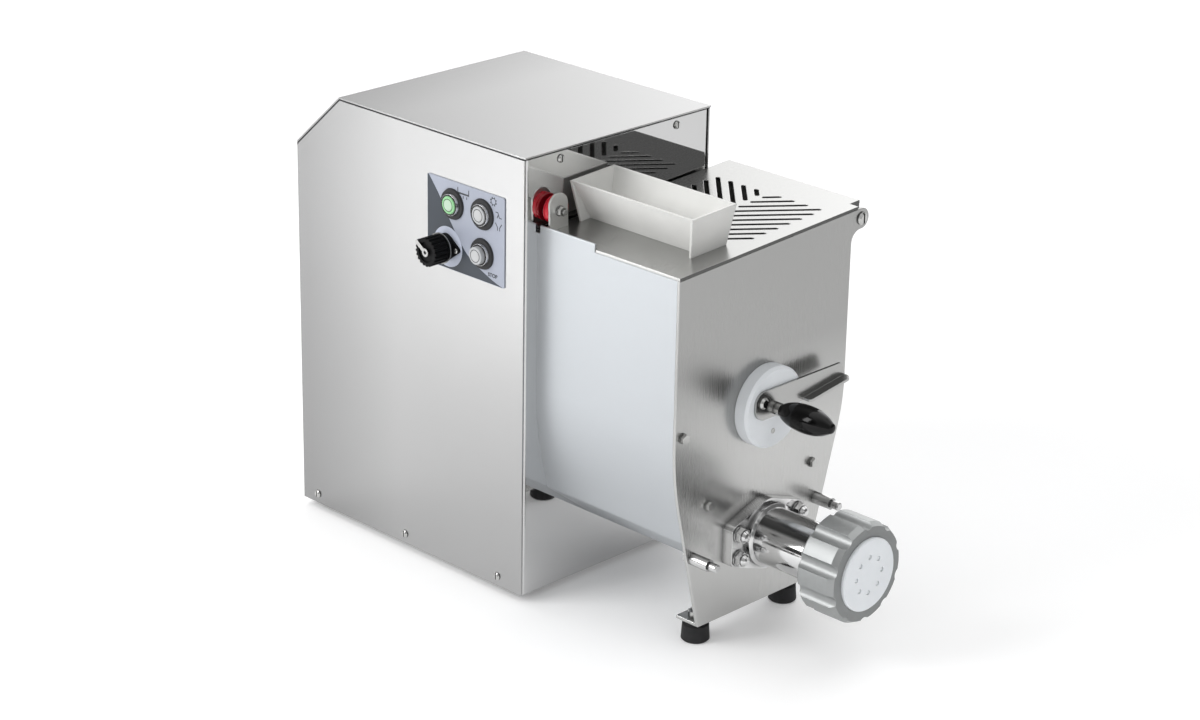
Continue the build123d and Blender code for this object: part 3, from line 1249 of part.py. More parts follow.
def slot_ends():
    """Both ends of every slanting slot in the rear half of the lid, seen from above."""
    first = SLOT_RIGHT + SLOT_INNER - 0.6 * SLOT_PITCH
    ends = []
    for index in range(SLOT_COUNT):
        run = first - index * SLOT_PITCH
        start_x = max(SLOT_LEFT, run - SLOT_INNER)
        end_x = min(SLOT_RIGHT, run - SLOT_REAR)
        ends.append(((start_x, start_x - run), (end_x, end_x - run)))
    return ends


def lid_slots():
    """Two mirrored fields of slanting slots."""
    slots = Sketch()
    for start, end in slot_ends():
        rear_start = (lid_x(start[0]), start[1])
        rear_end = (lid_x(end[0]), end[1])
        front_start = (lid_x(start[0]), -2 * SLOT_MIRROR - start[1])
        front_end = (lid_x(end[0]), -2 * SLOT_MIRROR - end[1])
        for low, high in ((rear_start, rear_end), (front_start, front_end)):
            middle = ((low[0] + high[0]) / 2, (low[1] + high[1]) / 2)
            run = hypot(high[0] - low[0], high[1] - low[1])
            angle = degrees(atan2(high[1] - low[1], high[0] - low[0]))
            slots += Pos(*middle) * Rot(0, 0, angle) * SlotCenterToCenter(run, SLOT_WIDTH)
    return slots


def lid():
    """Slotted lid with a stiff rim, the hopper's opening and two hinge ears."""
    left, right, rear, front = HOPPER_OPENING
    opening = block_face(lid_x(left), lid_x(right), -front, -rear)
    face = lid_outline() - opening - lid_slots()
    sheet = extrude(face, amount=-LID_SHEET)
    rim = lid_outline() - lid_outline(LID_RIM)
    sheet += Pos(0, 0, -LID_SHEET) * extrude(rim, amount=LID_SHEET - LID_EDGE)
    plate = on_lid() * sheet
    for front_y in (FRONT_Y + LID_NOTCH_DEPTH, -REAR_TAB_Y + HINGE_EAR_SHEET + FREE_CLEARANCE):
        plate += extrude(facing_front(front_y + HINGE_EAR_SHEET) * lid_ear_face(), amount=HINGE_EAR_SHEET)
    return plate


def lid_ear_face():
    """Ear that hangs from the lid around the hinge pin."""
    half = 0.85 * HINGE_EAR_RADIUS
    face = block_face(HINGE_X - half, HINGE_X + half, HINGE_Z, ABOVE_LID)
    face += Pos(HINGE_X, HINGE_Z) * Circle(half)
    face &= below_line(lambda x: lid_line(x, 0.5 * LID_SHEET))
    return face - hinge_hole()


def hinge_pins():
    """Slotted shoulder screws of the two hinge ears, each with its nut."""
    front_end = FRONT_Y + LID_NOTCH_DEPTH + HINGE_EAR_SHEET + FREE_CLEARANCE
    rear_end = -REAR_TAB_Y + 2 * HINGE_EAR_SHEET + 2 * FREE_CLEARANCE
    pins = []
    for start, end in ((FRONT_Y, front_end), (-REAR_TAB_Y, rear_end)):
        pin = slotted_screw((HINGE_X, start, HINGE_Z), FORWARD, HINGE_PIN_HEAD, HINGE_PIN_RADIUS,
                            end - start + 4.0)
        pins.append(pin + hexagon((HINGE_X, end, HINGE_Z), REARWARD, 4.0, 2 * HINGE_PIN_HEAD))
    return group(pins)


def lid_rectangle(box, height, inset=0.0):
    """Rectangle given as left, right, rear and front, drawn at a height above the lid."""
    left, right, rear, front = box
    face = block_face(lid_x(left) + inset, lid_x(right) - inset, -front + inset, -rear - inset)
    return Pos(0, 0, height) * face


def hopper():
    """Open moulded chute: sloping long walls between wider end plates, and a spigot in the lid."""
    outer = loft([lid_rectangle(HOPPER_FOOT, 0), lid_rectangle(HOPPER_RIM, HOPPER_HEIGHT)])
    outer += hopper_end(-1) + hopper_end(1)
    left, right, rear, front = HOPPER_OPENING
    gap = FREE_CLEARANCE
    neck = (left + gap, right - gap, rear + gap, front - gap)
    spigot = extrude(lid_rectangle(neck, -HOPPER_SPIGOT), amount=HOPPER_SPIGOT)
    way = extrude(lid_rectangle(neck, -HOPPER_SPIGOT, HOPPER_WALL), amount=HOPPER_SPIGOT)
    inner = loft([lid_rectangle(neck, 0, HOPPER_WALL), lid_rectangle(HOPPER_RIM, HOPPER_HEIGHT, HOPPER_WALL)])
    return on_lid() * (outer + spigot - way - inner)


def hopper_end(end):
    """Wider end plate of the hopper: end is -1 at the front and 1 at the rear."""
    left, right, rear, front = HOPPER_RIM
    foot_rear, foot_front = HOPPER_FOOT[2], HOPPER_FOOT[3]
    if end > 0:
        low = (*HOPPER_END_FOOT, foot_rear, foot_rear + HOPPER_WALL)
        high = (left, right, rear, rear + HOPPER_WALL)
    else:
        low = (*HOPPER_END_FOOT, foot_front - HOPPER_WALL, foot_front)
        high = (left, right, front - HOPPER_WALL, front)
    return loft([lid_rectangle(low, 0), lid_rectangle(high, HOPPER_HEIGHT)])


def magnet_height():
    """Height of the lid magnet's axis."""
    return lid_line(BRACKET_X) + BRACKET_HEIGHT - BRACKET_WIDTH / 2 - 5.5


def magnet_bracket():
    """Upright bracket with a rounded top and a foot folded towards the bulkhead."""
    x = lid_x(BRACKET_X)
    half = BRACKET_WIDTH / 2
    low = 0
    face = block_face(x - half, x + half, low, BRACKET_HEIGHT - half)
    face += Pos(x, BRACKET_HEIGHT - half) * Circle(half)
    upright = extrude(facing_front(-BRACKET_Y) * face, amount=BRACKET_SHEET)
    foot = block((x - half, -BRACKET_Y, low), (x + half, -LID_BACK_GAP - 1.0, BRACKET_SHEET))
    bracket = on_lid() * (upright + foot)
    return bracket - rod((BRACKET_X, 0, magnet_height()), FORWARD, 2 * BRACKET_Y,
                         BRACKET_BOLT_RADIUS + HOLE_CLEARANCE)


def interlock_magnet():
    """Red capsule with the magnet that tells the sensor that the lid is shut."""
    length = BRACKET_Y - MAGNET_GAP
    radius = MAGNET_RADIUS
    bore = BRACKET_BOLT_RADIUS + HOLE_CLEARANCE
    profile = [(bore, 0), (radius, 0), (radius, 0.62 * length), (radius - 1.2, 0.66 * length),
               (radius - 1.2, 0.74 * length), (radius, 0.78 * length), (radius, length - 0.8),
               (radius - 0.8, length), (0, length), (0, 0.6 * length), (bore, 0.6 * length)]
    return turned(profile, (BRACKET_X, -BRACKET_Y, magnet_height()), REARWARD)


def bracket_bolt():
    """Bolt and nut that hold the magnet to its bracket."""
    seat = (BRACKET_X, -BRACKET_Y - BRACKET_SHEET, magnet_height())
    bolt = rod(seat, REARWARD, BRACKET_SHEET + 0.58 * (BRACKET_Y - MAGNET_GAP), BRACKET_BOLT_RADIUS)
    bolt += rod(seat, FORWARD, 1.0, 5.0) + hexagon(seat, FORWARD, 5.0, 8.0)
    return bolt + rod(seat, FORWARD, 8.0, BRACKET_BOLT_RADIUS)


# ------------------------------------------------------------------ kneader and its front lock
def kneader_back_y():
    """Rear end of the kneader, just in front of the seal."""
    return -(SEAL_LIP + FREE_CLEARANCE)


def kneader():
    """Mixing shaft with crossed, twisted paddle bars, a slotted hub and a front journal."""
    back = kneader_back_y()
    front = PLATE_BACK_Y + VAT_CLEARANCE + LOCK_SPIGOT_LENGTH
    hub = rod((AXIS_X, back, KNEADER_Z), FORWARD, KNEADER_HUB_LENGTH, KNEADER_HUB_RADIUS)
    hub_end = back - KNEADER_HUB_LENGTH
    shaft = rod((AXIS_X, hub_end, KNEADER_Z), FORWARD, hub_end - front, KNEADER_SHAFT_RADIUS)
    journal_end = LOCK_FRONT_Y + 3.0 + FREE_CLEARANCE
    shaft += rod((AXIS_X, front, KNEADER_Z), FORWARD, front - journal_end, SHAFT_RADIUS)
    span = hub_end - front
    for index in range(PADDLE_COUNT):
        y = hub_end - span * (index + 0.5) / PADDLE_COUNT
        bar = SlotOverall(2 * PADDLE_RADIUS, PADDLE_WIDTH)
        paddle = extrude(bar, amount=PADDLE_SHEET / 2, both=True)
        turn = Rot(0, 180.0 * index / PADDLE_COUNT + 30.0, 0) * Rot(PADDLE_TWIST + 90.0, 0, 0)
        shaft += Pos(AXIS_X, y, KNEADER_Z) * turn * paddle
    return hub + shaft - tool_socket(KNEADER_Z, back)


def kneader_lock():
    """White bayonet bush that closes the vat's front and carries the kneader's journal."""
    edge = LOCK_EDGE
    thick = LOCK_THICKNESS
    bore = SHAFT_RADIUS + RUNNING_CLEARANCE
    reach = -LOCK_SPIGOT_LENGTH
    profile = [(bore, reach), (LOCK_SPIGOT_RADIUS, reach), (LOCK_SPIGOT_RADIUS, 0), (LOCK_RADIUS, 0),
               (LOCK_RADIUS, thick - edge), (LOCK_RADIUS - edge, thick), (0, thick), (0, thick - 3.0),
               (bore, thick - 3.0)]
    start = (AXIS_X, LOCK_BACK_Y, KNEADER_Z)
    bush = turned(profile, start, FORWARD)
    rear = PLATE_BACK_Y + FREE_CLEARANCE
    lug_length = LOCK_BACK_Y + LOCK_SPIGOT_LENGTH - rear
    lugs = tube((AXIS_X, rear, KNEADER_Z), REARWARD, lug_length, LOCK_LUG_RADIUS, bore)
    half = LOCK_LUG_WIDTH / 2
    lugs &= block((AXIS_X - LOCK_LUG_RADIUS, rear, KNEADER_Z - half),
                  (AXIS_X + LOCK_LUG_RADIUS, rear + lug_length, KNEADER_Z + half))
    return bush + lugs


def lock_lever():
    """Sheet lever across the lock, with a finger tab folded forward along its lower edge."""
    left = LEVER_LEFT
    top = KNEADER_Z + LEVER_TOP
    low = KNEADER_Z + LEVER_BOTTOM
    tip = KNEADER_Z + 6.2
    points = [(left, low), (left, top), (LEVER_RIGHT - 7.0, top), (LEVER_RIGHT, tip), (AXIS_X, low)]
    web = extrude(facing_front(LOCK_FRONT_Y) * rounded(points, [12, 12, 3, 3, 0]), amount=LEVER_SHEET)
    start_x = AXIS_X + 0.38 * (LEVER_RIGHT - AXIS_X)
    slope = (tip - low) / (LEVER_RIGHT - AXIS_X)
    start_z = low + slope * (start_x - AXIS_X)
    length = hypot(LEVER_RIGHT - 1.5 - start_x, slope * (LEVER_RIGHT - 1.5 - start_x))
    flat = rounded([(0, 0), (length, 0), (length, LEVER_TAB), (0, LEVER_TAB)], [0, 0, 6, 3])
    plane = Plane(origin=(start_x, LOCK_FRONT_Y - LEVER_SHEET + 0.01, start_z), x_dir=(1, 0, slope),
                  z_dir=Vector(-slope, 0, 1))
    tab = extrude(plane * mirror(flat, about=Plane.XZ), amount=LEVER_SHEET)
    for x, z, radius in ((AXIS_X + LEVER_BOLT_X, KNEADER_Z + LEVER_BOLT_Z, 2.5), (AXIS_X, KNEADER_Z, 3.0)):
        web -= rod((x, LOCK_FRONT_Y, z), FORWARD, LEVER_SHEET, radius + HOLE_CLEARANCE)
    return web + tab


def lever_studs():
    """Bolt that pins the lever to the lock, and the ferruled stud that the grip sits on."""
    seat = (AXIS_X + LEVER_BOLT_X, LEVER_FRONT_Y, KNEADER_Z + LEVER_BOLT_Z)
    bolt = turned([(0, 0), (5.5, 0), (5.5, 1.2), (3.6, 3.2), (0, 3.2)], seat, FORWARD)
    bolt += rod(seat, REARWARD, LEVER_SHEET, 2.5)
    start = (AXIS_X, LEVER_FRONT_Y, KNEADER_Z)
    tip = HANDLE_LENGTH - 2.0
    profile = [(0, -LEVER_SHEET), (3.0, -LEVER_SHEET), (3.0, 0), (HANDLE_FERRULE_RADIUS, 0),
               (HANDLE_FERRULE_RADIUS, HANDLE_FERRULE_LENGTH), (3.0, HANDLE_FERRULE_LENGTH),
               (3.0, tip), (4.2, tip), (3.4, HANDLE_LENGTH), (0, HANDLE_LENGTH)]
    return group([bolt, turned(profile, start, FORWARD)])


def handle_grip():
    """Oval black grip turned as one smooth curve."""
    start = HANDLE_FERRULE_LENGTH + HOLE_CLEARANCE
    end = HANDLE_LENGTH - 2.0 - HOLE_CLEARANCE
    length = end - start
    curve = Spline((6.5, start), (HANDLE_RADIUS - 1.8, start + 0.35 * length),
                   (HANDLE_RADIUS, start + 0.66 * length), (5.4, end))
    bore = 3.0 + HOLE_CLEARANCE
    rest = Polyline((5.4, end), (bore, end), (bore, start), (6.5, start))
    origin = (AXIS_X, LEVER_FRONT_Y, KNEADER_Z)
    plane = Plane(origin=origin, x_dir=(1, 0, 0), z_dir=DOWNWARD)
    return revolve(plane * make_face(curve.edges() + rest.edges()), axis=Axis(origin, FORWARD))


# ------------------------------------------------------------------ nozzle
def barrel_spigot_radius():
    """Radius of the barrel's spigot in the front plate."""
    return CHANNEL_RADIUS + CHANNEL_SHEET


def auger():
    """Feed screw: root shaft with a helical flight, a slotted hub and a conical tip."""
    back = kneader_back_y()
    tip = THREAD_FRONT_Y + 1.0
    cone = AUGER_ROOT_RADIUS
    hub = AUGER_HUB_LENGTH
    profile = [(0, 0), (AUGER_RADIUS - 6.0, 0), (AUGER_RADIUS - 6.0, hub - 3), (AUGER_ROOT_RADIUS, hub + 2),
               (AUGER_ROOT_RADIUS, back - tip - cone), (1.0, back - tip), (0, back - tip)]
    body = turned(profile, (AXIS_X, back, AUGER_Z), FORWARD)
    body -= tool_socket(AUGER_Z, back)
    start = back - hub - 1
    depth = AUGER_RADIUS - AUGER_ROOT_RADIUS + 1.0
    middle = AUGER_RADIUS - depth / 2
    path = Helix(pitch=AUGER_PITCH, height=start - tip - cone - AUGER_FLIGHT, radius=middle,
                 center=(AXIS_X, start, AUGER_Z), direction=FORWARD)
    radial = (path @ 0) - Vector(AXIS_X, start, AUGER_Z)
    plane = Plane(origin=path @ 0, x_dir=radial, z_dir=path % 0)
    flight = sweep(plane * Rectangle(depth, AUGER_FLIGHT), path=path, is_frenet=True)
    return body + flight


def extrusion_barrel():
    """Barrel in one piece: spigot, six-sided flange, collar, tube and the threaded head."""
    points = [(FLANGE_HALF_WIDTH, -FLANGE_SIDE_HALF), (FLANGE_HALF_WIDTH, FLANGE_SIDE_HALF), (0, FLANGE_APEX),
              (-FLANGE_HALF_WIDTH, FLANGE_SIDE_HALF), (-FLANGE_HALF_WIDTH, -FLANGE_SIDE_HALF),
              (0, -FLANGE_APEX)]
    face = Pos(AXIS_X, AUGER_Z) * rounded(points, [6, 6, 18, 6, 6, 18])
    for x, z in stud_places():
        face -= Pos(x, z) * Circle(STUD_RADIUS + HOLE_CLEARANCE)
    barrel = extrude(facing_front(FRONT_Y) * face, amount=BARREL_FLANGE)
    spigot = barrel_spigot_radius()
    root = BARREL_FLANGE + COLLAR_LENGTH
    head = NUT_REAR_Y + 1.4 - VAT_LENGTH
    end = -THREAD_FRONT_Y - VAT_LENGTH
    profile = [(CHANNEL_RADIUS, -FRONT_SHEET), (spigot, -FRONT_SHEET), (spigot, 1), (COLLAR_RADIUS, 1),
               (COLLAR_RADIUS, root - 2), (BARREL_RADIUS, root), (BARREL_RADIUS, head), (THREAD_RADIUS, head),
               (THREAD_RADIUS, end), (CHANNEL_RADIUS, end)]
    barrel += turned(profile, (AXIS_X, FRONT_Y, AUGER_Z), FORWARD)
    return barrel - rod((AXIS_X, PLATE_BACK_Y, AUGER_Z), FORWARD, 200, CHANNEL_RADIUS)


def barrel_studs():
    """Studs with flat heads behind the front plate."""
    studs = []
    for x, z in stud_places():
        stud = rod((x, PLATE_BACK_Y, z), REARWARD, 3.0, 2 * STUD_RADIUS)
        length = FRONT_SHEET + BARREL_FLANGE + WASHER_SHEET + 0.7 * STUD_NUT_HEIGHT
        studs.append(stud + rod((x, PLATE_BACK_Y, z), FORWARD, length, STUD_RADIUS))
    return group(studs)


def barrel_nuts():
    """Domed nuts of the barrel's flange, each on its washer."""
    nuts = []
    for x, z in stud_places():
        nuts.append(tube((x, BARREL_FRONT_Y, z), FORWARD, WASHER_SHEET, WASHER_RADIUS,
                         STUD_RADIUS + HOLE_CLEARANCE))
        seat = (x, BARREL_FRONT_Y - WASHER_SHEET, z)
        nut = hexagon(seat, FORWARD, 0.55 * STUD_NUT_HEIGHT, STUD_NUT_FLATS)
        dome = 0.42 * STUD_NUT_FLATS
        profile = [(0, 0), (dome, 0), (dome, 0.65 * STUD_NUT_HEIGHT), (0.72 * dome, 0.9 * STUD_NUT_HEIGHT),
                   (0.3 * dome, STUD_NUT_HEIGHT), (0, STUD_NUT_HEIGHT)]
        nut += turned(profile, seat, FORWARD)
        nuts.append(nut - rod(seat, FORWARD, 0.75 * STUD_NUT_HEIGHT, STUD_RADIUS + RUNNING_CLEARANCE))
    return group(nuts)


def ring_nut():
    """Lobed ring nut: a turned and chamfered ring with ten finger grooves milled along it."""
    start = (AXIS_X, -NUT_REAR_Y, AUGER_Z)
    radius = NUT_RADIUS
    bore = THREAD_RADIUS + RUNNING_CLEARANCE
    edge = NUT_CHAMFER
    lip = DIE_FACE_RADIUS + FREE_CLEARANCE
    profile = [(bore, 0), (radius - edge, 0), (radius, edge), (radius, NUT_LENGTH - 2 * edge),
               (radius - edge, NUT_LENGTH), (lip, NUT_LENGTH), (lip, NUT_LENGTH - NUT_LIP),
               (bore, NUT_LENGTH - NUT_LIP)]
    nut = turned(profile, start, FORWARD)
    distance = NUT_RADIUS - NUT_GROOVE_DEPTH + NUT_GROOVE_RADIUS
    for index in range(NUT_LOBES):
        angle = 2 * pi * (index + 0.5) / NUT_LOBES
        place = (AXIS_X + distance * cos(angle), -NUT_REAR_Y, AUGER_Z + distance * sin(angle))
        nut -= rod(place, FORWARD, NUT_LENGTH, NUT_GROOVE_RADIUS)
    return nut


def die_back_y():
    """Rear face of the die, just clear of the barrel's end."""
    return THREAD_FRONT_Y - FREE_CLEARANCE


def extrusion_die():
    """White die with a ring of holes, held behind the nut's lip."""
    lip_y = NUT_FRONT_Y + NUT_LIP
    shoulder = die_back_y() - lip_y - FREE_CLEARANCE
    total = die_back_y() - (NUT_FRONT_Y - DIE_PROUD)
    dish = 0.3 * DIE_FACE_RADIUS
    profile = [(0, 3), (dish, 3), (CHANNEL_RADIUS - 1, 0), (THREAD_RADIUS - FREE_CLEARANCE, 0),
               (THREAD_RADIUS - FREE_CLEARANCE, shoulder), (DIE_FACE_RADIUS, shoulder),
               (DIE_FACE_RADIUS, total - 1), (DIE_FACE_RADIUS - 1, total), (0, total)]
    die = turned(profile, (AXIS_X, die_back_y(), AUGER_Z), FORWARD)
    for place in PolarLocations(DIE_HOLE_CIRCLE, DIE_HOLES):
        spot = place.position
        die -= rod((AXIS_X + spot.X, die_back_y(), AUGER_Z + spot.Y), FORWARD, total, DIE_HOLE_RADIUS)
    return die


def accessory_studs():
    """Two grooved studs that an accessory hooks onto, each with its nut behind the plate."""
    studs = []
    for x, z in (ACCESSORY_LEFT, ACCESSORY_RIGHT):
        radius = ACCESSORY_RADIUS
        tip = ACCESSORY_TIP_RADIUS
        end = ACCESSORY_LENGTH + ACCESSORY_NECK + ACCESSORY_TIP_LENGTH
        profile = [(0, -FRONT_SHEET - 6), (tip, -FRONT_SHEET - 6), (tip, 0), (radius, 0),
                   (radius, ACCESSORY_LENGTH), (tip - 0.8, ACCESSORY_LENGTH),
                   (tip - 0.8, ACCESSORY_LENGTH + ACCESSORY_NECK), (tip, ACCESSORY_LENGTH + ACCESSORY_NECK),
                   (tip, end - 1), (tip - 1, end), (0, end)]
        stud = turned(profile, (x, FRONT_Y, z), FORWARD)
        studs.append(stud + hexagon((x, PLATE_BACK_Y, z), REARWARD, 4.5, ACCESSORY_NUT_FLATS))
    return group(studs)


# ------------------------------------------------------------------ assembly
def build_nodes():
    """Every node of the assembly, by name, in the modelling frame."""
    places = {name: (y, z) for name, y, z in button_places()}
    return {
        "base_plate": base_plate(),
        "bulkhead": bulkhead(),
        "control_side_panel": control_side_panel(),
        "right_side_panel": side_panel(1),
        "top_cover": top_cover(),
        "cover_seal": cover_seal(),
        "rear_cover": rear_cover(),
        "housing_feet": housing_feet(),
        "housing_screws": housing_screws(),
        "cable_gland": cable_gland(),
        "control_plate": control_plate(),
        "button_rings": button_rings(),
        "button_bezels": button_bezels(),
        "start_button": button_cap(*places["start"], BUTTON_CAP_HEIGHT),
        "mixer_button": button_cap(*places["mixer"], BUTTON_CAP_HEIGHT),
        "stop_button": button_cap(*places["stop"], STOP_CAP_HEIGHT),
        "switch_blocks": switch_blocks(),
        "accessory_socket": accessory_socket(),
        "socket_cap": socket_cap(),
        "cap_strap": cap_strap(),
        "gearbox_front_plate": gearbox_front_plate(),
        "gearbox_rear_plate": gearbox_rear_plate(),
        "gearbox_pillars": gearbox_pillars(),
        "shaft_bearings": shaft_bearings(),
        "shaft_seals": shaft_seals(),
        "kneader_drive_shaft": drive_shaft(KNEADER_Z),
        "kneader_gear": kneader_gear(),
        "auger_drive_shaft": drive_shaft(AUGER_Z),
        "auger_gear": auger_gear(),
        "pinion_shaft": pinion_shaft(),
        "input_gear": input_gear(),
        "motor_body": motor_body(),
        "fan_cowl": fan_cowl(),
        "motor_rotor": motor_rotor(),
        "motor_fan": motor_fan(),
        "contactor": contactor(),
        "lid_sensor": lid_sensor(),
        "vat_jacket": vat_jacket(),
        "mixing_tub": mixing_tub(),
        "front_plate": front_plate(),
        "front_plate_bolts": front_plate_bolts(),
        "front_feet": front_feet(),
        "hinge_pins": hinge_pins(),
        "lid": lid(),
        "hopper": hopper(),
        "magnet_bracket": magnet_bracket(),
        "interlock_magnet": interlock_magnet(),
        "bracket_bolt": bracket_bolt(),
        "kneader": kneader(),
        "kneader_lock": kneader_lock(),
        "lock_lever": lock_lever(),
        "lever_studs": lever_studs(),
        "handle_grip": handle_grip(),
        "auger": auger(),
        "extrusion_barrel": extrusion_barrel(),
        "barrel_studs": barrel_studs(),
        "barrel_nuts": barrel_nuts(),
        "ring_nut": ring_nut(),
        "extrusion_die": extrusion_die(),
        "accessory_studs": accessory_studs(),
    }


def footprint_centre(nodes):
    """Bottom centre of the box around all nodes."""
    boxes = [node.bounding_box() for node in nodes.values()]
    low_x = min(box.min.X for box in boxes)
    high_x = max(box.max.X for box in boxes)
    low_y = min(box.min.Y for box in boxes)
    high_y = max(box.max.Y for box in boxes)
    return Vector((low_x + high_x) / 2, (low_y + high_y) / 2, 0)


def main():
    """Write one STEP file for each node, with the origin at the footprint's centre."""
    os.makedirs("parts", exist_ok=True)
    nodes = build_nodes()
    centre = footprint_centre(nodes)
    for name, node in nodes.items():
        export_step(Pos(-centre.X, -centre.Y, 0) * node, f"parts/{name}.step")


if __name__ == "__main__":
    main()
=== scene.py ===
"""Finishes, printed details and studio stage of an electric pasta maker, around its frame."""

from math import cos, pi, radians, sin

import bmesh
import bpy
from bpy.props import FloatProperty, FloatVectorProperty, IntProperty, PointerProperty
from mathutils import Matrix, Vector


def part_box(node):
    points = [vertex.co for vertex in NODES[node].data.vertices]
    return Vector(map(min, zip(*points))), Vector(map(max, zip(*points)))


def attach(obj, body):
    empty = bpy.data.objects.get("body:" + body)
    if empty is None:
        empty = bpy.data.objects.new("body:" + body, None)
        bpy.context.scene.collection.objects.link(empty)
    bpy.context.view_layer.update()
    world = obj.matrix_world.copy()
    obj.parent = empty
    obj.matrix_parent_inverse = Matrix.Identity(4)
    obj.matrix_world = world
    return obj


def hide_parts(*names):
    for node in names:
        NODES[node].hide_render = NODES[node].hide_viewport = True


bl_info = {
    "name": "Electric pasta maker",
    "version": (1, 0, 0),
    "blender": (4, 5, 0),
    "location": "View3D > Sidebar > Pasta Maker",
    "description": "Finishes, printed details and studio stage of a counter-top pasta maker",
    "category": "Object",
}

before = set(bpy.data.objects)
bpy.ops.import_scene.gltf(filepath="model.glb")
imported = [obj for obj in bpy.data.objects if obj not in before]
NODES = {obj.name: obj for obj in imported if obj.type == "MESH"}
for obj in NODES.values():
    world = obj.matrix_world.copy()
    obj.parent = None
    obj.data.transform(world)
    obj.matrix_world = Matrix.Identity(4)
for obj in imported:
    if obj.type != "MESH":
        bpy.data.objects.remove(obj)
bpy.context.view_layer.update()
MM = 0.001
ALONG_X, ALONG_Y, ALONG_Z = 0, 1, 2
LEFTWARD, RIGHTWARD, FORWARD = Vector((-1, 0, 0)), Vector((1, 0, 0)), Vector((0, -1, 0))
UPWARD = Vector((0, 0, 1))


def in_mm(*points, origin=(0.0, 0.0)):
    """Points given in millimetres from an origin."""
    return [(origin[0] + across * MM, origin[1] + up * MM) for across, up in points]


# ---------- looks
BEVEL_SAMPLES, CREVICE_SAMPLES = 4, 6
SHARP_ANGLE = radians(35.0)
MERGE_DISTANCE = 1e-7
# painted shade: axis, where a sheet's painted brightness starts and stops changing along it, and
# its brightness beyond; it darkens the housing towards its rear and the front plate above its
# lower part
REAR_PAINTED_SHADE = (ALONG_Y, 0.16, 0.29, 0.72)
PLATE_PAINTED_SHADE = (ALONG_Z, 0.17, 0.27, 0.66)
# painted reflection: reach of the barrel's dark line from the axis, and the direction that the
# line faces
PAINTED_STREAK_RADIUS, PAINTED_STREAK_DIRECTION = 0.0315, Vector((-0.63, 0.0, 0.777))
LENS_RADIUS = 0.0084
# azimuth from +X, elevation, outer and inner angle in degrees, and change of the light's strength
STUDIO_PATCHES = (
    (-43.3, 6.0, 63.0, 30.0, -1.35),
    (28.0, 25.0, 32.0, 10.0, 0.75),
    (66.0, 22.0, 27.0, 8.0, -1.60),
    (140.0, 15.0, 45.0, 15.0, -1.50),
    (-150.0, 30.0, 60.0, 20.0, -1.09),
)
DIMMEST_PATCH = 0.03
# place, target, width and height in metres, and spread of each soft light
SIDE_LIGHT = ((-2.2, 1.2, 1.5), (0.0, 0.0, 0.15), (1.6, 1.6), pi)
FLOOR_LIGHT = ((-0.96, 0.72, 0.5), (-1.02, 0.80, 0.0), (0.12, 1.0), radians(80.0))
FLOOR_CELLS = 24
SENSOR_WIDTH_MM = 36.0
VIEW_DEPTH = 50.0

# ---------- outlines
CIRCLE_STEPS = 48
# turned outlines, as radius and height above the surface they stand on
LENS_CROWN = in_mm((0.0, 0.5), (4.2, 0.45), (5.3, 0.2), (5.6, 0.0), (0.0, 0.0))
# painted shade: a thin dark ring stands in for the shade in the groove round the lens's crown
LENS_SHADE_RING = in_mm((5.6, 0.0), (5.6, 0.1), (6.1, 0.1), (6.1, 0.0), (5.6, 0.0))
BEZEL_GASKET = in_mm((8.9, 0.0), (8.9, 0.25), (9.4, 0.35), (9.9, 0.25), (9.9, 0.0), (8.9, 0.0))
LOCK_PLUG = in_mm((0.0, 0.08), (1.5, 0.08), (1.7, 0.35), (2.4, 0.35), (2.7, 0.0), (0.0, 0.0))
DIE_CORE = in_mm((0.0, -0.5), (1.3, -0.5), (1.75, -0.9), (1.75, -4.5), (2.28, -4.5),
                 (2.28, -5.5), (0.0, -5.5))
# place of the plug from the middle of the lock bush
PLUG_ACROSS, PLUG_UP = -1.6 * MM, -22.3 * MM
# egg-shaped grip, as shares of its length and of its radius; then its stud's bore
EGG = ((0.0, 0.42), (0.02, 0.50), (0.07, 0.63), (0.14, 0.76), (0.24, 0.885), (0.36, 0.965),
       (0.48, 0.998), (0.60, 0.985), (0.71, 0.925), (0.81, 0.815), (0.89, 0.68), (0.95, 0.54),
       (1.0, 0.42), (1.03, 0.35), (1.045, 0.24), (1.052, 0.12), (1.056, 0.0))
EGG_STEPS, EGG_SEGMENTS, EGG_BORE_END, EGG_BORE = 4, 96, 1.038, 3.3 * MM
# slate field's edge and the places of icons and word, as shares of the plate's width and height
SLATE_EDGE = ((0.015, 1.0), (0.167, 0.780), (0.332, 0.493), (0.488, 0.274), (0.570, 0.202),
              (0.680, 0.130), (0.780, 0.079), (0.890, 0.032), (0.985, 0.004))
TRAY_LEFT, TRAY_RIGHT, TRAY_RIM, TRAY_FLOOR = 0.395, 0.545, 0.955, 0.905
WHEEL_PLACE, PADDLE_PLACE, FUNNEL_PLACE = (0.858, 0.928), (0.925, 0.795), (0.925, 0.670)
WORD_PLACE = (0.852, 0.083)
# sizes of the printed fields and of the icons
SLATE_INSET, BUTTON_HOLE, SOCKET_HOLE, HALO_SHIFT = 0.4 * MM, 12 * MM, 11 * MM, 1.6 * MM
TRAY_THICKNESS, DROP_TOP, DROP_FOOT = 1.6 * MM, 1.0 * MM, 3.6 * MM
DROP_SHARES = (0.2, 0.5, 0.8)
WHEEL_BORE, WHEEL_ROOT, WHEEL_TIP, WHEEL_TEETH = 2.7 * MM, 3.4 * MM, 4.5 * MM, 8
# share of a tooth's pitch and whether its tip is reached; strokes in mm around an icon's place
TOOTH_SHAPE = ((0.0, 0), (0.3, 0), (0.4, 1), (0.7, 1), (0.8, 0))
PADDLE_BLADE = ((-4, 2.4), (-1, 2.4), (1, -2.4), (4, -2.4))
PADDLE_ARM = ((-2, -3), (-0.8, -0.2))
FUNNEL_LEFT = ((-4.2, 3), (-1.4, -1), (-1.4, -4))
FUNNEL_RIGHT = tuple((-across, up) for across, up in FUNNEL_LEFT)


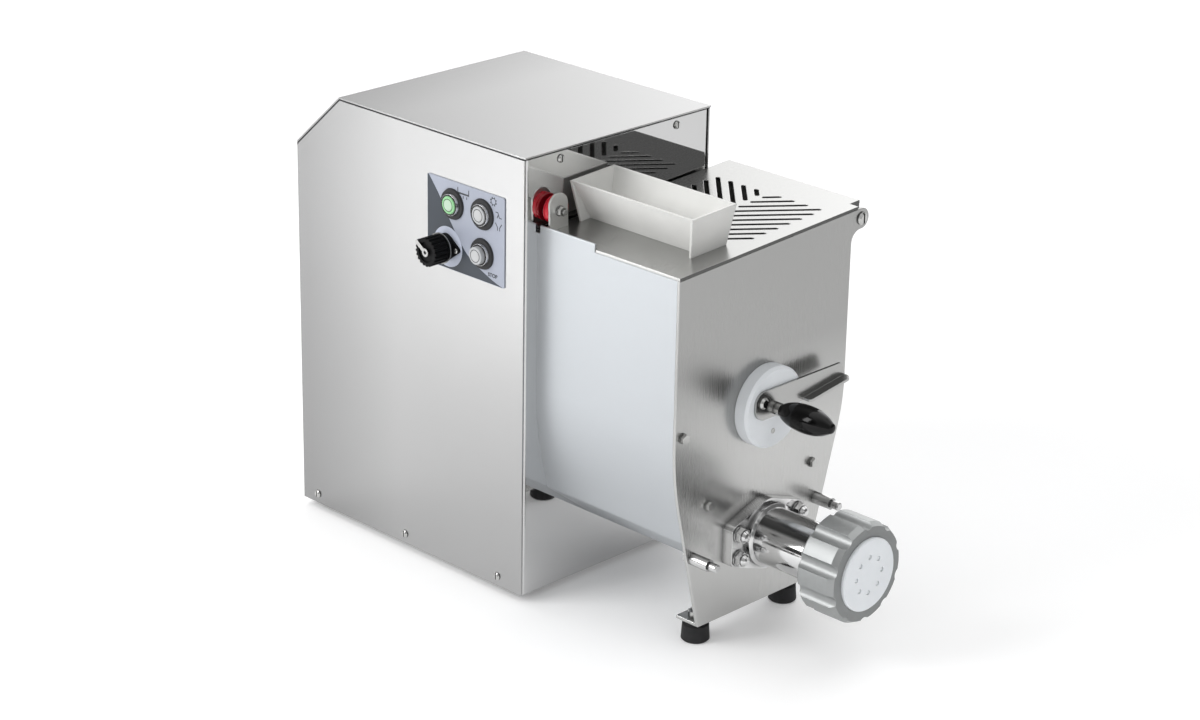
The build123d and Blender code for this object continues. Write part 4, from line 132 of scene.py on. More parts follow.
def centre_of(name):
    """Middle of a node's box."""
    low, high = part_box(name)
    return (low + high) / 2


# ---------- settings
def tint(name, description, default):
    """Property that holds a linear colour."""
    return FloatVectorProperty(name=name, description=description, subtype="COLOR", size=3,
                               min=0.0, max=1.0, default=default)


def number(**limits):
    """Maker of properties that hold one kind of number."""
    def setting(name, description, default):
        return FloatProperty(name=name, description=description, default=default, **limits)
    return setting


metres = number(min=0.0, unit="LENGTH", precision=5)
fraction = number(min=0.0, max=1.0, subtype="FACTOR")
turning = number(subtype="ANGLE")
watts = number(min=0.0, unit="POWER")


class PASTA_PG_metals(bpy.types.PropertyGroup):
    """Colours and roughness of the metals."""

    casing: tint("Casing steel", "Satin sheet of the housing", (0.425, 0.425, 0.425))
    casing_roughness: fraction("Casing roughness", "How matt the housing's sheet is", 0.26)
    jacket: tint("Jacket steel", "Bluish satin sheet of the vat's jacket", (0.500, 0.522, 0.543))
    jacket_roughness: fraction("Jacket roughness", "How matt the vat's jacket is", 0.46)
    plate: tint("Plate steel", "Satin sheet of the front plate and the lid", (0.475, 0.475, 0.468))
    plate_roughness: fraction("Plate roughness", "How matt the front plate and lid are", 0.27)
    mirror: tint("Mirror steel", "Polished sheet of the bulkhead", (0.59, 0.59, 0.59))
    mirror_roughness: fraction("Mirror roughness", "How blurred the bulkhead's image is", 0.022)
    polished: tint("Polished steel", "Turned and polished barrel, studs and nuts",
                   (0.76, 0.76, 0.76))
    polished_roughness: fraction("Polished roughness", "How matt the polished pieces are", 0.06)
    cast: tint("Cast ring", "Ring nut", (0.37, 0.38, 0.38))
    cast_roughness: fraction("Cast roughness", "How matt the ring nut's grooves are", 0.42)
    aluminium: tint("Aluminium", "Gearbox plates", (0.56, 0.57, 0.58))
    gear: tint("Gear steel", "Gears and shafts under oil", (0.42, 0.41, 0.39))
    zinc: tint("Screw steel", "Slotted screws and bolts", (0.58, 0.58, 0.57))
    edge_radius: metres("Edge radius", "Rounding of the sheets' edges in the light", 0.0006)


class PASTA_PG_plastics(bpy.types.PropertyGroup):
    """Colours and small sizes of the plastics, the rubbers and the paints."""

    food_white: tint("Food white", "Lock bush and die", (0.83, 0.86, 0.89))
    die_holes: IntProperty(name="Die holes", description="How many outlets the die has",
                           default=8, min=1)
    die_circle: metres("Die circle", "Radius of the ring of outlets", 0.0175)
    hopper: tint("Hopper", "Moulded feed hopper", (0.73, 0.73, 0.71))
    hopper_rounding: metres("Hopper rounding", "Radius of the hopper's edges", 0.0008)
    black: tint("Black plastic", "Socket with its cap, gland and sensor", (0.012, 0.012, 0.013))
    grip: tint("Grip", "Lacquered grip of the lever", (0.003, 0.003, 0.003))
    rubber: tint("Rubber", "Feet, seals and button rings", (0.016, 0.016, 0.017))
    magnet: tint("Magnet red", "Capsule of the lid's magnet", (0.66, 0.008, 0.028))
    fan: tint("Fan grey", "Fan, contactor and switch blocks", (0.16, 0.17, 0.18))
    motor: tint("Motor paint", "Motor housing and its cowl", (0.035, 0.037, 0.040))
    green_lens: tint("Green lens", "Start button", (0.20, 0.44, 0.21))
    clear_lens: tint("Clear lens", "Mixer and stop buttons", (0.38, 0.39, 0.40))


class PASTA_PG_print(bpy.types.PropertyGroup):
    """Inks and sizes of the printed control plate."""

    light: tint("Light field", "Ground of the plate", (0.335, 0.36, 0.43))
    dark: tint("Dark field", "Slate field behind the socket", (0.030, 0.039, 0.053))
    ink: tint("Ink", "Icons and lettering", (0.030, 0.034, 0.042))
    thickness: metres("Ink thickness", "How far a printed layer stands proud", 0.00012)
    line: metres("Line width", "Width of the icons' lines", 0.0009)
    halo_radius: metres("Halo radius", "Light round field around the socket", 0.0195)
    letter_height: metres("Letter height", "Size of the word on the plate", 0.0052)
    letter_weight: metres("Letter weight", "How far the word's strokes are thickened", 0.00018)


class PASTA_PG_stage(bpy.types.PropertyGroup):
    """Camera, lights and floor."""

    camera_place: FloatVectorProperty(name="Camera place", description="Where the camera stands",
                                      subtype="TRANSLATION", unit="LENGTH",
                                      default=(-1.8943, -1.84165, 1.2576))
    camera_azimuth: turning("Azimuth", "Turn of the camera round the object", radians(-45.685))
    camera_elevation: turning("Elevation", "Height above the horizon", radians(21.618))
    camera_roll: turning("Roll", "Lean of the camera", radians(1.072))
    lens: number(min=1.0, unit="CAMERA")("Lens", "Focal length on a 36 mm sensor", 90.04)
    floor_size: metres("Floor size", "Length of the floor's side", 14.0)
    floor_tone: fraction("Floor tone", "How pale the floor is", 0.92)
    floor_glow: fraction("Floor glow", "Light that fills the floor's shadows", 0.14)
    sky: number(min=0.0)("Sky", "Strength of the white surroundings", 1.53)
    side_power: watts("Side light", "Power of the softbox at the rear left", 48.5)
    floor_power: watts("Floor light", "Power of the lamp on the floor at the machine's side", 1.4)


# ---------- finishes
def summed(operation, reflected=False):
    """Method that adds a Math node for one kind of sum."""
    def method(self, other):
        first, second = (other, self) if reflected else (self, other)
        return self.web.node("ShaderNodeMath", {"operation": operation}, {0: first, 1: second})
    return method


class Term:
    """One value in a finish, which takes part in plain sums."""

    def __init__(self, web, socket):
        self.web = web
        self.socket = socket

    __add__, __radd__ = summed("ADD"), summed("ADD", reflected=True)
    __sub__, __rsub__ = summed("SUBTRACT"), summed("SUBTRACT", reflected=True)
    __mul__, __rmul__ = summed("MULTIPLY"), summed("MULTIPLY", reflected=True)
    __truediv__ = summed("DIVIDE")


class Web:
    """Nodes of a material or of the surroundings while they are put together."""

    def __init__(self, tree):
        self.tree = tree

    def node(self, kind, settings, sockets, output=0):
        """Add a node: first its settings, then the values or links of its sockets."""
        node = self.tree.nodes.new(kind)
        for name, value in settings.items():
            if name == "stops":
                for element, (position, grey) in zip(node.color_ramp.elements, value):
                    element.position = position
                    element.color = (grey, grey, grey, 1.0)
            else:
                setattr(node, name, value)
        for name, value in sockets.items():
            self.feed(node.inputs[name], value)
        return Term(self, node.outputs[output])

    def feed(self, socket, value):
        """Link a term to a socket, or set a plain value on it."""
        if isinstance(value, Term):
            self.tree.links.new(value.socket, socket)
        else:
            socket.default_value = value

    def product(self, first, second):
        """Vector whose parts are the products of two vectors' parts."""
        return self.node("ShaderNodeVectorMath", {"operation": "MULTIPLY"}, {0: first, 1: second})

    def alignment(self, first, second):
        """How far two directions agree, from -1 to 1."""
        return self.node("ShaderNodeVectorMath", {"operation": "DOT_PRODUCT"},
                         {0: first, 1: second}, "Value")


def shade(colour, factor):
    """Plain colour made lighter or darker."""
    return tuple(min(1.0, part * factor) for part in colour)


class Finish(Web):
    """A material while it is put together on its principled shader, rounded at its edges."""

    def __init__(self, name, edge=None, **constants):
        self.material = bpy.data.materials.new(name)
        self.material.use_nodes = True
        super().__init__(self.material.node_tree)
        self.shader = self.tree.nodes["Principled BSDF"]
        for socket, value in constants.items():
            self.shader.inputs[socket.replace("_", " ")].default_value = value
        self.place = self.node("ShaderNodeTexCoord", {}, {}, "Object")
        self.soft = None
        if edge is not None:
            self.soft = self.node("ShaderNodeBevel", {"samples": BEVEL_SAMPLES},
                                  {"Radius": edge})

    def noise(self, scale, detail=2.0, place=None):
        """Soft noise from 0 to 1."""
        return self.node("ShaderNodeTexNoise", {}, {"Vector": place or self.place,
                                                    "Scale": scale, "Detail": detail})

    def grain(self, along, fine=5200.0, coarse=18.0):
        """Noise drawn out into fine lines along one axis."""
        scales = [fine, fine, fine]
        scales[along] = coarse
        return self.noise(1.0, place=self.product(self.place, scales))

    def distance(self, centre, axis):
        """Distance from a line through centre along one axis."""
        flat = [1.0, 1.0, 1.0]
        flat[axis] = 0.0
        offset = self.node("ShaderNodeVectorMath", {"operation": "SUBTRACT"},
                           {0: self.place, 1: tuple(centre)})
        return self.node("ShaderNodeVectorMath", {"operation": "LENGTH"},
                         {0: self.product(offset, flat)}, "Value")

    def rise(self, value, start, end, greys=(0.0, 1.0)):
        """Mask that goes from 0 at start to 1 at end."""
        return self.node("ShaderNodeValToRGB", {"stops": zip((start, end), greys)},
                         {"Fac": value})

    def fall(self, value, start, end):
        """Mask that goes from 1 at start to 0 at end."""
        return self.rise(value, start, end, (1.0, 0.0))

    def run(self, axis, start, end):
        """Mask that goes from 0 to 1 between two places along an axis."""
        along = self.node("ShaderNodeSeparateXYZ", {}, {"Vector": self.place}, axis)
        return self.rise((along - start) / (end - start), 0.0, 1.0)

    def facing(self, direction):
        """How squarely the surface faces a direction of its own piece."""
        normal = self.node("ShaderNodeTexCoord", {}, {}, "Normal")
        return self.alignment(normal, tuple(direction))

    def blend(self, factor, first, second):
        """Colour between two colours."""
        colours = [value if isinstance(value, Term) else (*value, 1.0)
                   for value in (first, second)]
        return self.node("ShaderNodeMix", {"data_type": "RGBA"},
                         {0: factor, 6: colours[0], 7: colours[1]}, 2)

    def shades(self, factor, colour, first, second):
        """Colour between two shades of one plain colour."""
        return self.blend(factor, shade(colour, first), shade(colour, second))

    def scaled(self, colour, factor):
        """Colour made lighter or darker by a factor that varies."""
        return self.node("ShaderNodeVectorMath", {"operation": "SCALE"},
                         {0: colour, "Scale": factor})

    def worn_and_highlit_edges(self):
        """Mask that is 1 on the edges, where the rounded normal turns away; it marks wear and a
        painted highlight.
        """
        true = self.node("ShaderNodeNewGeometry", {}, {}, "Normal")
        return self.rise(1.0 - self.alignment(self.soft, true), 0.01, 0.22)

    def painted_crevice_shade(self, reach):
        """Mask that is 1 in the corners, where painted shade darkens the colour."""
        openness = self.node("ShaderNodeAmbientOcclusion", {"samples": CREVICE_SAMPLES},
                             {"Distance": reach}, "AO")
        return self.fall(openness, 0.50, 0.95)

    def surface(self, colour, roughness, height=None, depth=0.0):
        """Join colour, roughness and relief to the shader."""
        self.feed(self.shader.inputs["Base Color"], colour)
        self.feed(self.shader.inputs["Roughness"], roughness)
        if height is not None:
            sockets = {"Strength": 1.0, "Distance": depth, "Height": height}
            if self.soft is not None:
                sockets["Normal"] = self.soft
            self.feed(self.shader.inputs["Normal"], self.node("ShaderNodeBump", {}, sockets))
        return self.material


def sheet_steel(name, colour, roughness, along, edge, painted_shade=None, rim=1.0):
    """Satin sheet: fine grain, cloudy wipe marks, edges brightened by wear and a painted
    highlight, and a painted dark reflection on a rim that faces forward.

    A painted shade is an axis, where it starts and ends along it, and how bright the sheet is
    painted beyond.
    """
    finish = Finish(name, edge, Metallic=1.0)
    grain = finish.grain(along)
    clouds = finish.noise(scale=7.0, detail=3.0)
    wear_and_highlight = finish.worn_and_highlit_edges()
    tone = finish.shades(0.35 * grain + 0.65 * clouds, colour, 0.97, 1.03)
    # edges brightened: partly wear, partly a painted highlight
    tone = finish.blend(0.7 * wear_and_highlight, tone, shade(colour, 1.35))
    # painted dark reflection on the faces that look forward
    if rim != 1.0:
        front_shade_mask = finish.rise(finish.facing(FORWARD), 0.55, 0.85)
        tone = finish.blend(front_shade_mask, tone, shade(colour, rim))
    # painted shade: the colour scaled along an axis, to its level beyond the end
    if painted_shade is not None:
        axis, start, end, level = painted_shade
        tone = finish.scaled(tone, 1.0 + (level - 1.0) * finish.run(axis, start, end))
    rough = roughness + 0.04 * (clouds - 0.5) + 0.03 * (grain - 0.5) - 0.08 * wear_and_highlight
    return finish.surface(tone, rough, grain, depth=0.00000015)


def mirror_steel(name, colour, roughness, edge):
    """Polished sheet with faint wipe marks and hair scratches."""
    finish = Finish(name, edge, Metallic=1.0)
    wipes = finish.rise(finish.noise(scale=9.0, detail=4.0), 0.42, 0.72)
    hairs = finish.rise(finish.grain(ALONG_X, fine=900.0, coarse=6.0), 0.66, 0.80)
    tone = finish.blend(0.5 * wipes, colour, shade(colour, 0.93))
    rough = roughness + 0.015 * wipes + 0.02 * hairs
    return finish.surface(tone, rough, hairs, depth=0.0000001)


def turned_steel(name, colour, roughness, edge=0.0004, painted_streak=None):
    """Turned steel: rings of tool marks round the nozzle's axis, with painted shade in its
    corners.

    A painted streak is a point on the axis of a tube, its reach from that axis, and the direction
    that the dark line on the tube faces; the line is a painted reflection.
    """
    finish = Finish(name, edge, Metallic=1.0)
    marks = finish.grain(ALONG_Y, fine=26.0, coarse=3200.0)
    stains = finish.noise(scale=60.0, detail=3.0)
    tone = finish.shades(0.4 * marks + 0.6 * stains, colour, 0.90, 1.05)
    # painted shade: the colour darkened in the corners
    tone = finish.blend(0.8 * finish.painted_crevice_shade(reach=0.007), tone, shade(colour, 0.12))
    # painted reflection: a dark line along the tube
    if painted_streak is not None:
        centre, radius, direction = painted_streak
        line = finish.rise(finish.facing(direction), 0.975, 0.992)
        tube = finish.fall(finish.distance(centre, ALONG_Y) / radius, 0.90, 0.95)
        tone = finish.blend(0.9 * line * tube, tone, shade(colour, 0.04))
    rough = roughness + 0.03 * marks + 0.03 * stains
    return finish.surface(tone, rough, marks, depth=0.0000005)


def ring_nut_finish(name, colour, roughness, centre):
    """Ring nut: bright milled grooves, and a face turned matt in fine rings."""
    finish = Finish(name, edge=0.0006, Metallic=1.0)
    face = finish.rise(finish.facing(FORWARD), 0.85, 0.97)
    rings = finish.noise(scale=1.0, detail=1.0,
                         place=5200.0 * finish.distance(centre, ALONG_Y))
    blotches = finish.noise(scale=120.0, detail=4.0)
    flank = finish.shades(blotches, colour, 0.86, 1.10)
    matt = finish.shades(0.5 * rings + 0.5 * blotches, colour, 0.86, 1.02)
    rough = roughness + 0.12 * blotches + face * 0.24
    return finish.surface(finish.blend(face, flank, matt), rough, 0.6 * blotches + 0.4 * rings,
                          depth=0.000012)


def cast_metal(name, colour, roughness):
    """Cast or machined light metal with a fine grit."""
    finish = Finish(name, edge=0.0006, Metallic=0.9)
    speck = finish.noise(scale=900.0, detail=3.0)
    stains = finish.noise(scale=22.0, detail=3.0)
    tone = finish.shades(0.5 * speck + 0.5 * stains, colour, 0.82, 1.10)
    # edges brightened: partly wear, partly a painted highlight
    tone = finish.blend(0.6 * finish.worn_and_highlit_edges(), tone, shade(colour, 1.35))
    rough = roughness + 0.12 * (speck - 0.5)
    return finish.surface(tone, rough, speck, depth=0.00002)


def oiled_steel(name, colour, roughness):
    """Ground steel with a film of oil that pools in uneven patches."""
    finish = Finish(name, edge=0.0004, Metallic=1.0, Coat_Roughness=0.08)
    film = finish.rise(finish.noise(scale=38.0, detail=3.0), 0.35, 0.70)
    marks = finish.grain(ALONG_Y, fine=40.0, coarse=2400.0)
    finish.feed(finish.shader.inputs["Coat Weight"], 0.5 * film)
    rough = roughness + 0.10 * marks - 0.06 * film
    return finish.surface(finish.shades(film, colour, 1.12, 0.70), rough, marks,
                          depth=0.000003)


def screw_steel(name, colour, roughness):
    """Bright screw steel, with painted shade in the slots, and rims brightened by wear and a
    painted highlight.
    """
    finish = Finish(name, edge=0.0003, Metallic=1.0)
    spots = finish.noise(scale=420.0, detail=4.0)
    wear_and_highlight = finish.worn_and_highlit_edges()
    tone = finish.shades(spots, colour, 0.72, 1.05)
    # rims brightened: partly wear, partly a painted highlight
    tone = finish.blend(0.8 * wear_and_highlight, tone, shade(colour, 1.30))
    # painted shade: slots and corners darkened almost to black
    tone = finish.blend(0.9 * finish.painted_crevice_shade(reach=0.0035), tone, shade(colour, 0.10))
    rough = roughness + 0.10 * spots - 0.05 * wear_and_highlight
    return finish.surface(tone, rough, spots, depth=0.000003)


def food_plastic(name, colour, roughness):
    """Dense white polymer: milky, faintly mottled, with the matt bloom of a turned face."""
    finish = Finish(name, edge=0.0008, Specular_IOR_Level=0.38, Subsurface_Weight=0.25,
                    Subsurface_Radius=(1.0, 1.0, 1.0), Subsurface_Scale=0.004)
    mottle = finish.noise(scale=48.0, detail=3.0)
    bloom = finish.noise(scale=1400.0)
    rough = roughness + 0.10 * (bloom - 0.5)
    return finish.surface(finish.shades(mottle, colour, 0.95, 1.05), rough, bloom,
                          depth=0.000006)


def moulded_plastic(name, colour, roughness, grit=1500.0, depth=0.000012, coat=0.0,
                    edge=0.0005, gloss=0.45):
    """Moulded or painted surface with a fine texture, and edges brightened by wear and a painted
    highlight.
    """
    finish = Finish(name, edge, Specular_IOR_Level=gloss, Coat_Weight=coat,
                    Coat_Roughness=0.06)
    texture = finish.noise(scale=grit)
    flow = finish.noise(scale=18.0, detail=3.0)
    tone = finish.shades(flow, colour, 0.86, 1.14)
    # edges brightened: partly wear, partly a painted highlight
    tone = finish.blend(0.35 * finish.worn_and_highlit_edges(), tone, shade(colour, 1.6))
    rough = roughness + 0.10 * (flow - 0.5) + 0.05 * texture
    return finish.surface(tone, rough, texture, depth)


def rubber(name, colour):
    """Black rubber, dusty in its pores."""
    finish = Finish(name, edge=0.0008, Specular_IOR_Level=0.3)
    pores = finish.noise(scale=1100.0, detail=4.0)
    dust = finish.rise(finish.noise(scale=60.0, detail=5.0), 0.45, 0.85)
    tone = finish.blend(0.5 * dust, colour, shade(colour, 3.0))
    return finish.surface(tone, 0.52 + 0.25 * pores, pores, depth=0.00003)


def lens_finish(name, colour, centre, glow):
    """Push-button lens: pale in the middle, filled with fine cells, and given a painted glow in
    its own colours.
    """
    finish = Finish(name, Specular_IOR_Level=0.4, Coat_Weight=0.25, Coat_Roughness=0.25,
                    Emission_Strength=glow)
    cells = finish.node("ShaderNodeTexVoronoi", {"feature": "F1"},
                        {"Vector": finish.place, "Scale": 900.0}, "Distance")
    core = finish.fall(finish.distance(centre, ALONG_X) / LENS_RADIUS, 0.58, 0.68)
    pale = tuple(0.5 * part + 0.27 for part in colour)
    tone = finish.blend(0.5 * cells, colour, shade(colour, 1.25))
    tone = finish.blend(core, tone, pale)
    # painted glow: the lens gives off light in its own colour
    finish.feed(finish.shader.inputs["Emission Color"], tone)
    return finish.surface(tone, 0.38 + 0.12 * cells, cells, depth=0.00003)


def ink(name, colour):
    """Screen-printed ink with the faint peel of its film."""
    finish = Finish(name, Specular_IOR_Level=0.4)
    peel = finish.noise(scale=2200.0)
    tone = finish.shades(finish.noise(scale=26.0), colour, 0.93, 1.07)
    return finish.surface(tone, 0.42 + 0.08 * (peel - 0.5), peel, depth=0.000006)


# ---------- shapes
def dress(material, *names):
    """Give CAD nodes their finish."""
    for name in names:
        for slot in NODES[name].material_slots:
            slot.material = material


def linked(name, data):
    """Object in the scene from a mesh, a lamp or a camera."""
    made = bpy.data.objects.new(name, data)
    bpy.context.scene.collection.objects.link(made)
    return made


def piece(mesh, material, body, slot):
    """Object from a mesh already in place, riding on a body."""
    mesh.materials.clear()
    mesh.materials.append(material)
    made = linked(mesh.name, mesh)
    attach(made, body)
    return made


def placement(origin, outward, right):
    """Matrix of a face at origin, drawn to the right and up, that looks outward."""
    up = outward.cross(right)
    matrix = Matrix((right, up, outward)).transposed().to_4x4()
    matrix.translation = origin
    return matrix


def on_side(x, y, z):
    """Matrix of a face that looks to the left side."""
    return placement(Vector((x, y, z)), LEFTWARD, FORWARD)


def on_front(x, y, z):
    """Matrix of a face that looks to the front."""
    return placement(Vector((x, y, z)), FORWARD, RIGHTWARD)


def turned_mesh(name, profile, place, segments=64):
    """Mesh turned about the outward axis of its place, from (radius, height) points."""
    shape = bmesh.new()
    points = [shape.verts.new((radius, 0.0, height)) for radius, height in profile]
    edges = [shape.edges.new(pair) for pair in zip(points, points[1:])]
    bmesh.ops.spin(shape, geom=points + edges, axis=(0, 0, 1), cent=(0, 0, 0), steps=segments,
                   angle=2 * pi, use_merge=True)
    bmesh.ops.remove_doubles(shape, verts=shape.verts, dist=MERGE_DISTANCE)
    bmesh.ops.recalc_face_normals(shape, faces=shape.faces)
    return finished_mesh(name, shape, place)


def finished_mesh(name, shape, place):
    """Mesh of a bmesh, moved to its place, smooth except at its corners."""
    mesh = bpy.data.meshes.new(name)
    for face in shape.faces:
        face.smooth = True
    shape.to_mesh(mesh)
    shape.free()
    mesh.transform(place)
    mesh.set_sharp_from_angle(angle=SHARP_ANGLE)
    return mesh


def layer_mesh(name, outlines, thickness, place):
    """Thin printed layer that fills its outlines and leaves out those inside another."""
    curve = bpy.data.curves.new(name, "CURVE")
    curve.dimensions = "2D"
    curve.fill_mode = "BOTH"
    curve.extrude = thickness / 2
    for outline in outlines:
        spline = curve.splines.new("POLY")
        spline.points.add(len(outline) - 1)
        for point, (across, up) in zip(spline.points, outline):
            point.co = (across, up, 0.0, 1.0)
        spline.use_cyclic_u = True
    return mesh_of_curve(name, curve, place)


def mesh_of_curve(name, curve, place):
    """Mesh of a curve or text, moved to its place."""
    holder = bpy.data.objects.new(name, curve)
    mesh = bpy.data.meshes.new_from_object(holder)
    bpy.data.objects.remove(holder)
    mesh.name = name
    mesh.transform(place)
    return mesh


def around(across, up, radius, turn):
    """Point at a share of a full turn round a centre."""
    angle = 2 * pi * turn
    return across + radius * cos(angle), up + radius * sin(angle)


def circle(across, up, radius):
    """Outline of a circle."""
    return [around(across, up, radius, step / CIRCLE_STEPS) for step in range(CIRCLE_STEPS)]


def toothed_circle(across, up, root, tip, teeth):
    """Outline of a small gear wheel."""
    return [around(across, up, tip if raised else root, (tooth + share) / teeth)
            for tooth in range(teeth) for share, raised in TOOTH_SHAPE]


def stroke(points, width):
    """Outline of a line of some width."""
    left, right = [], []
    for index, (across, up) in enumerate(points):
        before = points[max(index - 1, 0)]
        after = points[min(index + 1, len(points) - 1)]
        run = Vector((after[0] - before[0], after[1] - before[1])).normalized()
        left.append((across - run.y * width / 2, up + run.x * width / 2))
        right.append((across + run.y * width / 2, up - run.x * width / 2))
    return left + right[::-1]


def smooth_run(points, steps=10):
    """Points along a Catmull-Rom line through the given points."""
    run = []
    padded = [points[0], *points, points[-1]]
    for before, start, end, after in zip(padded, padded[1:], padded[2:], padded[3:]):
        for step in range(steps):
            t = step / steps
            run.append(tuple(0.5 * (2 * b + (c - a) * t + (2 * a - 5 * b + 4 * c - d) * t * t
                                    + (3 * b - a - 3 * c + d) * t ** 3)
                             for a, b, c, d in zip(before, start, end, after)))
    return [*run, points[-1]]


# ---------- operators
def palettes(scene):
    """Settings of the metals and of the plastics."""
    return scene.pasta_metals, scene.pasta_plastics


class PASTA_OT_casing(bpy.types.Operator):
    """Satin sheets of the housing, its mirror bulkhead and its seal"""

    bl_idname = "pasta_maker.casing"
    bl_label = "Casing"

    def execute(self, context):
        metals, plastics = palettes(context.scene)
        # painted shade: both housing sheets are darker towards the rear
        side = sheet_steel("casing_side_steel", metals.casing, metals.casing_roughness,
                           ALONG_Y, metals.edge_radius, REAR_PAINTED_SHADE)
        top = sheet_steel("casing_top_steel", metals.casing, metals.casing_roughness,
                          ALONG_X, metals.edge_radius, REAR_PAINTED_SHADE)
        dress(side, "control_side_panel", "right_side_panel", "base_plate")
        dress(top, "top_cover", "rear_cover")
        dress(mirror_steel("bulkhead_mirror", metals.mirror, metals.mirror_roughness,
                           edge=0.0012), "bulkhead")
        dress(rubber("cover_seal_foam", plastics.rubber), "cover_seal")
        return {"FINISHED"}


class PASTA_OT_drive(bpy.types.Operator):
    """Gearbox, gears, shafts, motor, fan and electrics inside the housing"""

    bl_idname = "pasta_maker.drive"
    bl_label = "Drive"

    def execute(self, context):
        metals, plastics = palettes(context.scene)
        dress(cast_metal("gearbox_plate", metals.aluminium, roughness=0.42),
              "gearbox_front_plate", "gearbox_rear_plate")
        dress(oiled_steel("gear_steel", metals.gear, roughness=0.26),
              "kneader_gear", "auger_gear", "pinion_shaft", "input_gear", "motor_rotor")
        dress(turned_steel("drive_shaft_steel", metals.polished, roughness=0.16),
              "kneader_drive_shaft", "auger_drive_shaft", "shaft_bearings")
        dress(screw_steel("pillar_steel", metals.zinc, roughness=0.28), "gearbox_pillars")
        dress(moulded_plastic("motor_paint", plastics.motor, roughness=0.40, grit=700.0,
                              depth=0.00003), "motor_body", "fan_cowl")
        dress(moulded_plastic("fan_plastic", plastics.fan, roughness=0.48),
              "motor_fan", "contactor", "switch_blocks")
        dress(moulded_plastic("sensor_plastic", plastics.black, roughness=0.38), "lid_sensor")
        dress(rubber("shaft_seal_rubber", plastics.rubber), "shaft_seals")
        return {"FINISHED"}


class PASTA_OT_control_print(bpy.types.Operator):
    """Control plate with its slate field, its light halo, its icons and the word for stop"""

    bl_idname = "pasta_maker.control_print"
    bl_label = "Control print"

    def execute(self, context):
        settings = context.scene.pasta_print
        low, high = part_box("control_plate")
        width, height = high.y - low.y, high.z - low.z
        thickness = settings.thickness
        place = on_side(low.x - thickness / 2, high.y, low.z)
        upper = Matrix.Translation(LEFTWARD * thickness) @ place
        dress(ink("plate_light_print", settings.light), "control_plate")

        edge = smooth_run([(across * width, up * height) for across, up in SLATE_EDGE])
        field = [(SLATE_INSET, SLATE_INSET), (SLATE_INSET, height - SLATE_INSET)]
        field += [(across, min(max(up, SLATE_INSET), height - SLATE_INSET))
                  for across, up in edge]
        hole = circle(*self.on_plate("start_button", place), BUTTON_HOLE)
        self.layer("print_slate_field", [field, hole], place, "slate_print", settings.dark)

        across, up = self.on_plate("accessory_socket", place)
        halo = [circle(across + HALO_SHIFT, up, settings.halo_radius),
                circle(across, up, SOCKET_HOLE)]
        self.layer("print_halo", halo, upper, "halo_print", shade(settings.light, 1.45))
        icons = self.icons(width, height, settings.line)
        self.layer("print_icons", icons, place, "icon_print", settings.ink)

        word = bpy.data.curves.new("print_stop_word", "FONT")
        word.body = "STOP"
        word.size = settings.letter_height
        word.extrude = thickness / 2
        word.offset = settings.letter_weight
        word.align_x = "CENTER"
        spot = Matrix.Translation((WORD_PLACE[0] * width, WORD_PLACE[1] * height, 0.0))
        piece(mesh_of_curve("print_stop_word", word, place @ spot),
              ink("word_print", settings.ink), "housing", "panel_print")
        return {"FINISHED"}

    def layer(self, name, outlines, place, ink_name, colour):
        """Printed layer on the plate."""
        thickness = bpy.context.scene.pasta_print.thickness
        piece(layer_mesh(name, outlines, thickness, place), ink(ink_name, colour), "housing",
              "panel_print")

    def on_plate(self, name, place):
        """Centre of a node, measured across and up the plate."""
        spot = place.inverted() @ centre_of(name)
        return spot.x, spot.y

    def icons(self, width, height, line):
        """Outlines of the icons: tray over drops, gear wheel, paddle and funnel."""
        left, right, rim, tray = (TRAY_LEFT * width, TRAY_RIGHT * width, TRAY_RIM * height,
                                  TRAY_FLOOR * height)
        inner_left, inner_right, base = left + line, right - line, tray - TRAY_THICKNESS
        outlines = [[(left, rim), (left, base), (right, base), (right, rim),
                     (inner_right, rim), (inner_right, tray), (inner_left, tray),
                     (inner_left, rim)]]
        for share in DROP_SHARES:
            across = left + share * (right - left)
            outlines.append(stroke([(across, base - DROP_TOP), (across, base - DROP_FOOT)],
                                   line))
        wheel, paddle, funnel = ((across * width, up * height) for across, up
                                 in (WHEEL_PLACE, PADDLE_PLACE, FUNNEL_PLACE))
        outlines.append(toothed_circle(*wheel, WHEEL_ROOT, WHEEL_TIP, WHEEL_TEETH))
        outlines.append(circle(*wheel, WHEEL_BORE))
        for origin, run in ((paddle, PADDLE_BLADE), (paddle, PADDLE_ARM),
                            (funnel, FUNNEL_LEFT), (funnel, FUNNEL_RIGHT)):
            outlines.append(stroke(in_mm(*run, origin=origin), line))
        return outlines


